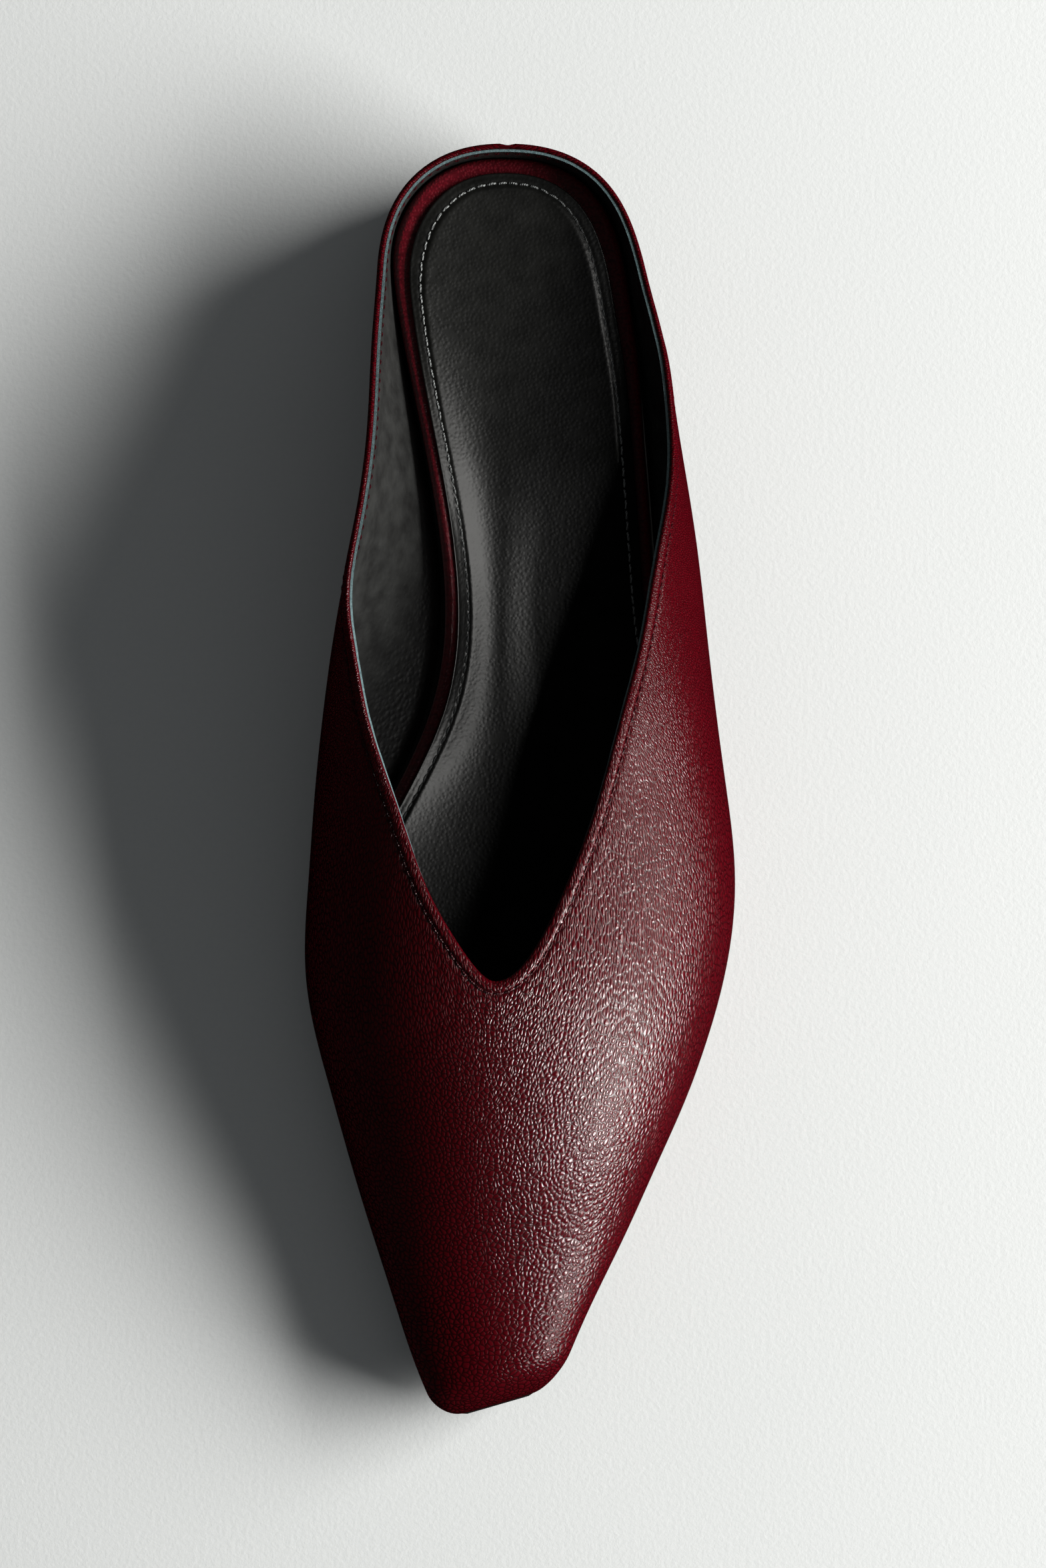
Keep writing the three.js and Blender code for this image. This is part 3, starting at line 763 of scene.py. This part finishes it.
def tuck_height(above_foot):
    """The leather turns in under the shoe just above its foot."""
    t = np.clip(1 - above_foot / FOOT_TUCK["height"], 0, 1)
    return -FOOT_TUCK["height"] * (1 - np.sqrt(1 - t**2)) * FOOT_TUCK["share"]


POINTS, NORMALS = joined_sides()
TOPLINE_POINTS = edge_loop(POINTS, THROAT_INDEX)
TOPLINE_NORMALS = edge_loop(NORMALS, THROAT_INDEX)


def loop_outward(points, normals):
    """Direction along the surface and off the leather at each point of the topline."""
    along = np.roll(points, -1, axis=0) - np.roll(points, 1, axis=0)
    return unit(np.cross(normals, along))


TOPLINE_OFF = loop_outward(TOPLINE_POINTS, TOPLINE_NORMALS)


def set_map(piece, first, second, angle=None):
    """Grain map of the surface, in metres; an angle that jumps at the heel is kept on one side."""
    mesh = piece.data
    corners = np.empty(len(mesh.loops), np.int32)
    mesh.loops.foreach_get("vertex_index", corners)
    starts = np.empty(len(mesh.polygons), np.int32)
    totals = np.empty(len(mesh.polygons), np.int32)
    mesh.polygons.foreach_get("loop_start", starts)
    mesh.polygons.foreach_get("loop_total", totals)
    across = first[corners]
    if angle is not None:
        of_corner = angle[corners]
        mean = np.add.reduceat(of_corner, starts) / totals
        other_side = np.sign(of_corner) != np.sign(np.repeat(mean, totals))
        at_heel = np.abs(of_corner) > HEEL_ANGLE
        across = np.where(at_heel & other_side, -across, across)
    layer = mesh.uv_layers.new(name=GRAIN_MAP)
    layer.uv.foreach_set("vector", np.stack((across, second[corners]), axis=-1).ravel() * MM)


def leather_relief():
    """Height of the outer face over the last: creases, folds, seams and edges."""
    flat = POINTS.reshape(-1, 3)
    from_edge = nearest_distance(flat, TOPLINE_POINTS)
    angle, radius = fan_place(flat)
    above_foot = (POINTS[..., 2] - POINTS[:, :, :1, 2]).reshape(-1)
    vamp = smooth_step((flat[:, 2] - CREASES_ABOVE["height"]) / CREASES_ABOVE["fade"])
    height = crease_height(flat) * vamp + pucker_height(angle, radius, from_edge)
    height += edge_height(from_edge) + back_seam_height(flat) + tuck_height(above_foot)
    return height.reshape(POINTS.shape[:3])[..., None]


def through_wall(normals):
    """Directions through the wall, kept level along its foot and across the toe."""
    level = normals.copy()
    level[:, :, 0, 2] = 0
    level[:, -1, :, 2] = 0
    return unit(level)


def fold_rings(outer, inner):
    """Rings of points round the folded edge, from the outer face to the inner one."""
    middle, half = (outer + inner) / 2, (outer - inner) / 2
    reach = np.linalg.norm(half, axis=-1, keepdims=True)
    turns = [math.pi * k / FOLD_STEPS for k in range(1, FOLD_STEPS)]
    return [middle + half * math.cos(turn) + TOPLINE_OFF * reach * math.sin(turn)
            for turn in turns]


def make_upper():
    """Outer leather: fine outer face, rounded fold at the topline and a coarse inner face."""
    count = len(STATIONS)
    outer = POINTS + NORMALS * leather_relief()
    inner = POINTS[:, :, ::INNER_STEP] - through_wall(NORMALS[:, :, ::INNER_STEP]) * LEATHER
    outer_ids = side_ids(count, ROWS + 1, THROAT_INDEX, 0)
    inner_start = 2 * count * (ROWS + 1)
    inner_ids = side_ids(count, inner.shape[2], THROAT_INDEX, inner_start)
    faces = []
    for side in (0, 1):
        faces += quads(outer_ids[side]) + quads(inner_ids[side])
        faces += quads(np.stack((outer_ids[side, :, 0], inner_ids[side, :, 0])))
        faces += fan(outer_ids[side, -1], inner_ids[side, -1])
    folds = fold_rings(edge_loop(outer, THROAT_INDEX), edge_loop(inner, THROAT_INDEX))
    fold_start = inner_start + 2 * count * inner.shape[2]
    fold_ids = fold_start + np.arange(len(folds) * len(folds[0])).reshape(len(folds), -1)
    faces += band(np.concatenate((edge_loop(outer_ids, THROAT_INDEX)[None], fold_ids,
                                  edge_loop(inner_ids, THROAT_INDEX)[None])))
    points = np.concatenate((outer.reshape(-1, 3), inner.reshape(-1, 3), *folds))
    piece = mesh_piece("upper_leather", points, faces)
    where = positions(piece)
    angle, radius = fan_place(where)
    set_map(piece, angle * np.sqrt(radius * FAN_RADIUS), nearest_distance(where, TOPLINE_POINTS),
            angle)
    piece.data.materials.append(MATERIALS["upper"])
    return piece


def make_lining():
    """Thin lining inside the leather, with its trimmed and slightly ragged edge."""
    station_step, row_step = 2, 4  # the lining needs fewer stations and rows than the leather
    near, far = LEATHER + GLUE_LINE, LEATHER + GLUE_LINE + LINING
    points = POINTS[:, ::station_step, ::row_step]
    normals = through_wall(NORMALS[:, ::station_step, ::row_step])
    throat = THROAT_INDEX // station_step
    count, rows = points.shape[1:3]
    near_ids = side_ids(count, rows, throat, 0)
    far_ids = side_ids(count, rows, throat, 2 * count * rows)
    faces = []
    for side in (0, 1):
        faces += quads(near_ids[side]) + quads(far_ids[side])
        faces += quads(np.stack((near_ids[side, :, 0], far_ids[side, :, 0])))
        faces += quads(np.stack((near_ids[side, -1], far_ids[side, -1])))
    near_grid, far_grid = points - normals * near, points - normals * far
    off = loop_outward(edge_loop(points, throat), edge_loop(normals, throat))
    size = len(off)
    ragged = 0.05 * np.sin(np.arange(size) * 2.1) * np.sin(np.arange(size) * 0.37)
    trim = off * (LINING_TRIM + ragged[:, None])
    trimmed = [edge_loop(grid, throat) + trim for grid in (near_grid, far_grid)]
    trimmed_ids = 4 * count * rows + np.arange(2 * size).reshape(2, size)
    faces += band(np.concatenate((edge_loop(near_ids, throat)[None], trimmed_ids,
                                  edge_loop(far_ids, throat)[None])))
    points_of_all = (near_grid.reshape(-1, 3), far_grid.reshape(-1, 3), *trimmed)
    piece = mesh_piece("upper_lining", np.concatenate(points_of_all), faces, sharp=40)
    piece.data.materials.append(MATERIALS["lining"])
    piece.data.materials.append(MATERIALS["lining_edge"])
    middle_of_edge = edge_loop(points - normals * (near + far) / 2, throat) + off * LINING_TRIM
    centres = np.array([face.center for face in piece.data.polygons]) / MM
    on_edge = nearest_distance(centres, middle_of_edge) < LINING * 0.62
    piece.data.polygons.foreach_set("material_index", on_edge.astype(np.int32))
    return piece


# ---- Stitches ----
def stitch_tree(name, thread_material):
    """Geometry nodes: one bent piece of thread at every pitch along a path."""
    tree = bpy.data.node_groups.new(name, "GeometryNodeTree")
    socket = tree.interface.new_socket
    socket("Path", in_out="INPUT", socket_type="NodeSocketGeometry")
    for label in ("Pitch", "Length", "Thread", "Rise", "Sink", "Wander"):
        socket(label, in_out="INPUT", socket_type="NodeSocketFloat")
    socket("Seed", in_out="INPUT", socket_type="NodeSocketInt")
    socket("Stitches", in_out="OUTPUT", socket_type="NodeSocketGeometry")
    given = tree.nodes.new("NodeGroupInput").outputs
    line = add_node(tree, "GeometryNodeMeshToCurve", Mesh=given["Path"]).outputs["Curve"]
    spaced = add_node(tree, "GeometryNodeResampleCurve", {"mode": "LENGTH"}, Curve=line,
                      Length=given["Pitch"]).outputs["Curve"]
    half = calculate(tree, "MULTIPLY", given["Length"], 0.5)
    down = calculate(tree, "MULTIPLY", given["Sink"], -1.0)
    start = add_node(tree, "ShaderNodeCombineXYZ", X=calculate(tree, "MULTIPLY", half, -1.0), Z=down)
    end = add_node(tree, "ShaderNodeCombineXYZ", X=half, Z=down)
    top = add_node(tree, "ShaderNodeCombineXYZ", Z=given["Rise"])
    arc = add_node(tree, "GeometryNodeCurveQuadraticBezier", Resolution=6,
                   Start=start.outputs[0], Middle=top.outputs[0], End=end.outputs[0])
    ring = add_node(tree, "GeometryNodeCurvePrimitiveCircle", Resolution=6,
                    Radius=calculate(tree, "MULTIPLY", given["Thread"], 0.5))
    piece = add_node(tree, "GeometryNodeCurveToMesh", Curve=arc.outputs["Curve"],
                     Profile_Curve=ring.outputs["Curve"], Fill_Caps=True).outputs["Mesh"]
    tangent = tree.nodes.new("GeometryNodeInputTangent").outputs["Tangent"]
    outward = add_node(tree, "GeometryNodeInputNamedAttribute", {"data_type": "FLOAT_VECTOR"},
                       Name="outward").outputs["Attribute"]
    along = add_node(tree, "FunctionNodeAlignRotationToVector", {"axis": "X"}, Vector=tangent)
    upright = add_node(tree, "FunctionNodeAlignRotationToVector",
                       {"axis": "Z", "pivot_axis": "X"},
                       Rotation=along.outputs["Rotation"], Vector=outward)
    swing = add_node(tree, "FunctionNodeRandomValue", {"data_type": "FLOAT"},
                     Seed=given["Seed"])
    scale = calculate(tree, "MULTIPLY_ADD", swing.outputs[1], 2.0, -1.0)
    yaw = add_node(tree, "ShaderNodeCombineXYZ",
                   Z=calculate(tree, "MULTIPLY", scale, given["Wander"]))
    turned = add_node(tree, "FunctionNodeRotateRotation", {"rotation_space": "LOCAL"},
                      Rotation=upright.outputs["Rotation"], Rotate_By=yaw.outputs[0])
    placed = add_node(tree, "GeometryNodeInstanceOnPoints", Points=spaced, Instance=piece,
                      Rotation=turned.outputs["Rotation"]).outputs["Instances"]
    real = add_node(tree, "GeometryNodeRealizeInstances", Geometry=placed).outputs["Geometry"]
    dressed = add_node(tree, "GeometryNodeSetMaterial", Geometry=real, Material=thread_material)
    result = tree.nodes.new("NodeGroupOutput")
    tree.links.new(dressed.outputs["Geometry"], result.inputs["Stitches"])
    return tree


def sew(name, path, outward, thread_material, closed=True, **sizes):
    """Stitches along a path of points in millimetres, made real as one mesh."""
    count = len(path)
    edges = [(i, (i + 1) % count) for i in range(count if closed else count - 1)]
    mesh = bpy.data.meshes.new(name + "_path")
    mesh.from_pydata((path * MM).tolist(), edges, [])
    layer = mesh.attributes.new("outward", "FLOAT_VECTOR", "POINT")
    layer.data.foreach_set("vector", np.asarray(outward, np.float32).ravel())
    guide = new_object(name + "_path", mesh)
    tree = stitch_tree(name + "_nodes", thread_material)
    sewing = guide.modifiers.new("stitches", "NODES")
    sewing.node_group = tree
    for item in tree.interface.items_tree:
        if item.in_out == "INPUT" and item.name in sizes:
            sewing[item.identifier] = sizes[item.name]
    bpy.context.view_layer.update()
    graph = bpy.context.evaluated_depsgraph_get()
    sewn = bpy.data.meshes.new_from_object(guide.evaluated_get(graph))
    guide.modifiers.remove(sewing)
    bpy.data.objects.remove(guide)
    sewn.shade_smooth()
    return new_object(name, sewn)


def onto(piece, points, from_above=False):
    """Nearest places and outward directions on a piece, or those straight below the points."""
    mesh = piece.data
    tree = BVHTree.FromPolygons([vertex.co for vertex in mesh.vertices],
                                [tuple(face.vertices) for face in mesh.polygons])
    places, directions = [], []
    for point in points:
        here = Vector(point) * MM
        if from_above:
            hit, normal = tree.ray_cast(here + Vector((0, 0, 0.05)), Vector((0, 0, -1)))[:2]
        else:
            hit, normal = tree.find_nearest(here)[:2]
        places.append(np.array(hit) / MM)
        directions.append(np.array(normal))
    return np.array(places), np.array(directions)


def smoothed(values, times=3):
    for _ in range(times):
        values = (np.roll(values, 1, axis=0) + 2 * values + np.roll(values, -1, axis=0)) / 4
    return values


def topline_stitches(upper):
    """The seam a little below the fold, all the way round the topline."""
    guide = TOPLINE_POINTS - TOPLINE_OFF * TOPLINE_STITCH
    places, directions = onto(upper, guide)
    return sew("topline_stitches", smoothed(places, 1), unit(smoothed(directions)),
               MATERIALS["topline_thread"], Pitch=0.0021, Length=0.00165, Thread=0.00042,
               Rise=0.00042, Sink=0.00012, Wander=0.1, Seed=4)


def lining_stitches(lining):
    """The same seam where its thread shows on the lining."""
    inside = TOPLINE_POINTS - TOPLINE_NORMALS * (LEATHER + LINING)
    places = onto(lining, inside - TOPLINE_OFF * TOPLINE_STITCH)[0]
    return sew("lining_stitches", smoothed(places, 1), unit(smoothed(-TOPLINE_NORMALS)),
               MATERIALS["topline_thread"], Pitch=0.0021, Length=0.001, Thread=0.00036,
               Rise=0.0003, Sink=0.00012, Wander=0.2, Seed=9)


# ---- Footbed and sock ----
def stretched(at, margin):
    return LAST_LENGTH / 2 + (at - LAST_LENGTH / 2) * (1 + 2 * margin / LAST_LENGTH)


def bed_edge(side, at, inset):
    """Sideways place of the footbed's outline, moved in by an inset."""
    return narrowed(side["sign"] * (side["rim"](at) - inset), at)


def bed_height(at, x):
    """Upper face of the footbed, cupped towards both edges."""
    middle = narrowed(crown_place(at) * BED_MIDDLE, at)
    base = sole_height(at) + OUTSOLE_THICKNESS + GAP + FOOTBED_THICKNESS
    lift = 0
    for side in SIDES.values():
        edge = bed_edge(side, at, FOOTBED_ROUNDING)
        across = (x - middle) / np.where(np.abs(edge - middle) < 1e-3, side["sign"], edge - middle)
        lift = lift + side["lift"](at) * np.clip(across, 0, 1) ** 2.5
    return base + lift


BED_STATIONS = np.concatenate((
    HEEL_ROUND["length"] * (1 - np.cos(np.arange(36) / 36 * math.pi / 2)),
    np.linspace(HEEL_ROUND["length"], LAST_LENGTH - TOE_ROUND["length"], 190),
    LAST_LENGTH - TOE_ROUND["length"] * np.cos(np.arange(1, 11) / 10 * math.pi / 2),
))


CLOSED = 0.02  # a face's last ring is its outline shrunk to this


def quarter_turn(steps, first=0):
    """Angles of a rounding, in even steps up to a right angle."""
    return [math.pi / 2 * step / steps for step in range(first, steps + 1)]


def bed_ring(inset, shrink=1.0):
    """Ring in the footbed's outline: distances along the last and sideways places.

    The inset is one number, or one for each station, the same on both sides.
    """
    at = stretched(BED_STATIONS, -BED_INSET - inset)
    middle = narrowed(crown_place(BED_STATIONS) * BED_MIDDLE, BED_STATIONS)
    medial, lateral = (middle + (bed_edge(SIDES[name], BED_STATIONS, inset) - middle) * shrink
                       for name in ("medial", "lateral"))
    return np.concatenate((at, at[::-1])), np.concatenate((medial, lateral[::-1]))


def bed_layer(inset, lift, shrink=1.0, level=None, padded=False):
    """Ring of points at a lift above the footbed's face, or at a level above the outsole."""
    at, x = bed_ring(inset, shrink)
    z = bed_height(at, x) + lift
    if padded:
        z = z + arch_pad(at, x)
    if level is not None:
        z = sole_height(at) + OUTSOLE_THICKNESS + level
    return place(at, x, z)


def footbed():
    """Insole board wrapped in the upper's leather: rounded rim, flat under the sock."""
    r = FOOTBED_ROUNDING
    to_heel = (HEEL_FULLNESS["end"] - BED_STATIONS) / HEEL_FULLNESS["fade"]
    full = HEEL_FULLNESS["most"] * smooth_step(to_heel)
    rings = [bed_layer(2.0, 0, shrink, level=GAP) for shrink in (CLOSED, 0.5, 1.0)]
    rings.append(bed_layer(0.5, 0, level=GAP + 0.3))
    for turn in quarter_turn(10):
        rings.append(bed_layer(r * (1 - math.cos(turn)) - full, r * (math.sin(turn) - 1)))
    rings += [bed_layer(inset, 0) for inset in (2.0, 2.6, 3.4, 5.0)]
    rings += [bed_layer(6.0, 0, shrink) for shrink in (1.0, 0.66, 0.33, CLOSED)]
    piece = stack_of_rings("footbed_wrap", rings, MATERIALS["rim"])
    where = positions(piece)
    set_map(piece, where[:, 1], where[:, 0])
    return piece


def arch_pad(at, x):
    """Foam that keeps the sock's climb to the inner arch at one slope, fading away outwards."""
    medial = SIDES["medial"]
    middle = narrowed(crown_place(at) * BED_MIDDLE, at)
    edge = bed_edge(medial, at, SOCK_INSET + SOCK_STITCH)
    width = np.maximum(np.abs(edge - middle), 1.0)
    share = (x - middle) / (edge - middle)
    reach = (edge - middle) / (bed_edge(medial, at, FOOTBED_ROUNDING) - middle)
    climb = medial["lift"](at) * reach**2.5
    steepest = np.maximum(2.5 * climb / width, 1e-6)
    turn = np.minimum(1, (ARCH_SLOPE / steepest) ** (2 / 3))
    inside = np.clip(share, turn, 1)
    pad = climb * (1 - inside**2.5) - ARCH_SLOPE * width * (1 - inside)
    return np.maximum(pad, 0) * smooth_step(1 + np.minimum(share, 0))


def sock_lift(inset):
    """Height of the sock over the footbed: thin cut edge, stitched groove, padded middle."""
    foam = (SOCK_PADDED - SOCK_CUT_EDGE) * smooth_step((inset - 0.3) / 3.0)
    across = 1 - min(inset, SOCK_CORNER) / SOCK_CORNER
    corner = 0.3 * (1 - math.sqrt(1 - across**2))
    return SOCK_CUT_EDGE + foam - groove_depth(inset - SOCK_STITCH, SOCK_GROOVE) - corner


def sock():
    """Padded sock: flat underneath, fine rings over its edge and seam, coarser ones inside."""
    inner = SOCK_INSET + SOCK_BORDER
    rings = [bed_layer(inner, GLUE_LINE, shrink) for shrink in (CLOSED, 0.5, 1.0)]
    rings += [bed_layer(SOCK_INSET + inset, GLUE_LINE) for inset in (2.0, 0.0)]
    insets = np.concatenate((np.linspace(0, SOCK_CORNER, 5), np.linspace(0.6, 4.2, 15),
                             np.linspace(4.8, SOCK_BORDER, 3)))
    rings += [bed_layer(SOCK_INSET + inset, sock_lift(inset), padded=True) for inset in insets]
    rings += [bed_layer(inner, sock_lift(SOCK_BORDER), shrink, padded=True)
              for shrink in np.linspace(1, CLOSED, 40)[1:]]
    return stack_of_rings("sock_cover", rings, MATERIALS["sock"])


def sock_stitches(cover):
    """Seam round the sock, open towards the toe, where the vamp hides it."""
    at, x = bed_ring(SOCK_INSET + SOCK_STITCH)
    path = place(at, x, bed_height(at, x) + SOCK_PADDED)
    half = len(BED_STATIONS)
    shown = int(np.searchsorted(BED_STATIONS, SOCK_SEAM_END))
    path = np.concatenate((path[2 * half - shown:], path[:shown]))
    places, directions = onto(cover, path, from_above=True)
    return sew("sock_stitches", places, unit(directions), MATERIALS["sock_thread"],
               closed=False, Pitch=0.0022, Length=0.0016, Thread=0.00046, Rise=0.00042,
               Sink=0.0001, Wander=0.12, Seed=2)


# ---- Soles ----
FACE_INSET = 4.0  # first and last rings of a sole, heel block or top piece


def sole_ring(margin, z_of, at=BED_STATIONS):
    rows = []
    for name in ("medial", "lateral"):
        side = SIDES[name]
        x = narrowed(side["sign"] * (side["sole"](at) + margin), at)
        rows.append(place(stretched(at, margin), x, z_of(at)))
    return np.concatenate((rows[0], rows[1][::-1]))


def outsole():
    """Thin sole with a rounded lower edge and a fine line round its side."""
    def level(lift):
        return lambda at: sole_height(at) + lift

    tuck = 0.8
    side_profile = ((1.7, 0), (1.85, -0.15), (2.0, 0), (2.75, 0), (2.93, -0.07),
                    (OUTSOLE_THICKNESS, -0.25), (OUTSOLE_THICKNESS, -FACE_INSET))
    rings = [sole_ring(SOLE_EDGE - inset, level(0)) for inset in (FACE_INSET, tuck + 0.5)]
    for turn in quarter_turn(6):
        margin = SOLE_EDGE - tuck * (1 - math.sin(turn))
        rings.append(sole_ring(margin, level(tuck * (1 - math.cos(turn)))))
    rings += [sole_ring(SOLE_EDGE + margin, level(lift)) for lift, margin in side_profile]
    return stack_of_rings("sole_sheet", rings, MATERIALS["sole"])


def heel_ring(z, inset=0.0):
    """Level ring round the heel block, closed by a hollow breast."""
    margin = SOLE_EDGE - HEEL_SETBACK - HEEL_TAPER * (1 - z / HEEL_HEIGHT) - inset
    at = BED_STATIONS[BED_STATIONS < HEEL_LENGTH - 0.5] * (1 - inset / HEEL_LENGTH)
    at = np.append(at, HEEL_LENGTH - inset)
    medial, lateral = np.split(sole_ring(margin, lambda where: np.full_like(where, z), at), 2)
    across = np.linspace(0, 1, 22)[1:-1, None]
    breast = medial[-1] + (lateral[0] - medial[-1]) * across
    breast[:, 1] += BREAST_HOLLOW * np.sin(across[:, 0] * math.pi)
    return np.concatenate((medial, breast, lateral))


def heel_piece(name, low, high, material, rounding):
    """Slice of the heel between two heights, with rounded rims."""
    rings = [heel_ring(low, inset) for inset in (FACE_INSET, rounding)]
    for turn in quarter_turn(5, first=1):
        rings.append(heel_ring(low + rounding * (1 - math.cos(turn)),
                               rounding * (1 - math.sin(turn))))
    rings += [heel_ring(z) for z in np.linspace(low + rounding, high - rounding, 8)[1:]]
    for turn in quarter_turn(5, first=1):
        rings.append(heel_ring(high - rounding * (1 - math.sin(turn)),
                               rounding * (1 - math.cos(turn))))
    rings.append(heel_ring(high, FACE_INSET))
    return stack_of_rings(name, rings, material)


# ---- The shoe ----
def carry(piece, slot, *nodes):
    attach(piece, "root")
    if nodes:
        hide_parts(*nodes)


upper_piece = make_upper()
lining_piece = make_lining()
sock_piece = sock()
carry(upper_piece, "burgundy_leather", "upper")
carry(lining_piece, "lining_leather")
topline_seam = topline_stitches(upper_piece)
carry(topline_seam, "sewing_thread")
carry(lining_stitches(lining_piece), "sewing_thread")
footbed_piece = footbed()
carry(footbed_piece, "burgundy_leather", "footbed")
carry(sock_piece, "black_leather", "sock")
sock_seam = sock_stitches(sock_piece)
carry(sock_seam, "sewing_thread")
carry(outsole(), "black_rubber", "outsole")
heel_block = heel_piece("heel_block", HEEL_TIP_THICKNESS + HEEL_SEAM, HEEL_HEIGHT - HEEL_SEAM,
                        MATERIALS["heel"], rounding=0.12)
carry(heel_block, "heel_stack", "heel")
heel_plate = heel_piece("heel_plate", 0.0, HEEL_TIP_THICKNESS, MATERIALS["rubber"], rounding=0.25)
carry(heel_plate, "black_rubber", "heel_tip")


# ---- Floor, camera and light ----
RED_PIECES = (upper_piece, topline_seam, footbed_piece)
BLACK_PIECES = (sock_piece, sock_seam, lining_piece)


def make_floor():
    reach = 3.0
    mesh = bpy.data.meshes.new("paper_floor")
    corners = [(-reach, -reach, 0), (reach, -reach, 0), (reach, reach, 0), (-reach, reach, 0)]
    mesh.from_pydata(corners, [], [(0, 1, 2, 3)])
    mesh.materials.append(MATERIALS["floor"])
    floor = new_object("paper_floor", mesh)
    floor.visible_glossy = False


def aim(thing, place_at, target, up):
    """Puts a camera or light at a place, looking at a target with a chosen up side."""
    back = (Vector(place_at) - Vector(target)).normalized()
    right = Vector(up).cross(back).normalized()
    top = back.cross(right)
    thing.location = place_at
    thing.rotation_euler = Matrix((right, top, back)).transposed().to_euler()


def make_camera():
    """From above, a little to the inner side, heel at the top of the frame."""
    lens = bpy.data.cameras.new("camera")
    camera = new_object("camera", lens)
    low, high = cad_box
    middle = [(a + b) / 2 for a, b in zip(low, high)]
    length = high[1] - low[1]
    share_of_frame = 0.82
    place_at = (-0.0528, -0.002, 0.85)
    lens.sensor_fit = "VERTICAL"
    lens.sensor_height = 24
    lens.lens = lens.sensor_height * (place_at[2] - middle[2]) * share_of_frame / length
    aim(camera, place_at, middle, (0, 1, 0))
    bpy.context.scene.camera = camera


def make_light(name, azimuth, elevation, distance, size, power, colour, target=(0, 0, 0.02),
               beam=180, only=None):
    """Soft rectangular light aimed at a place; azimuth 0 is the outer side, 90 the heel.

    A light kept to a few pieces is a reflector card: it adds their sheen and nothing else.
    """
    lamp = bpy.data.lights.new(name, "AREA")
    lamp.shape = "RECTANGLE"
    lamp.size, lamp.size_y = size
    lamp.energy = power
    lamp.color = colour
    lamp.spread = math.radians(beam)
    light = new_object(name, lamp)
    turn, lift = math.radians(azimuth), math.radians(elevation)
    level = distance * math.cos(lift)
    away = Vector((level * math.cos(turn), level * math.sin(turn), distance * math.sin(lift)))
    aim(light, Vector(target) + away, target, (0, 0, 1))
    light.visible_camera = False
    light.visible_diffuse = only is None
    light.visible_glossy = only is not None
    if only:
        lit = bpy.data.collections.new(name + "_lit")
        for piece in only:
            lit.objects.link(piece)
        light.light_linking.receiver_collection = lit


def make_room():
    """Faint cool light from all round, which the pieces don't mirror."""
    world = bpy.data.worlds.new("room")
    bpy.context.scene.world = world
    world.use_nodes = True
    background = world.node_tree.nodes["Background"]
    background.inputs["Color"].default_value = (0.92, 0.96, 1.0, 1)
    background.inputs["Strength"].default_value = 0.092
    world.cycles_visibility.glossy = False


make_floor()
make_camera()
make_light("window", azimuth=3, elevation=25, distance=1.9, size=(2.0, 0.8), power=101,
           colour=(1.0, 0.997, 0.99))
make_light("vamp_card", azimuth=-41, elevation=28, distance=0.32, size=(0.1, 0.16), power=0.07,
           colour=(1.0, 0.98, 0.95), target=(0.016, -0.04, 0.035), beam=24, only=RED_PIECES)
make_light("quarter_card", azimuth=-14, elevation=30, distance=0.6, size=(0.16, 0.16),
           power=0.026, colour=(1.0, 0.97, 0.93), target=(0.036, -0.034, 0.03), beam=18,
           only=RED_PIECES)
make_light("edge_card", azimuth=-2, elevation=44, distance=1.6, size=(0.5, 0.4), power=1.9,
           colour=(1.0, 0.97, 0.95), only=RED_PIECES)
make_light("sock_card", azimuth=-12, elevation=54, distance=0.8, size=(0.8, 0.4), power=4.8,
           colour=(1.0, 0.99, 0.96), only=BLACK_PIECES)
make_room()
bpy.context.scene.view_settings.view_transform = "Standard"
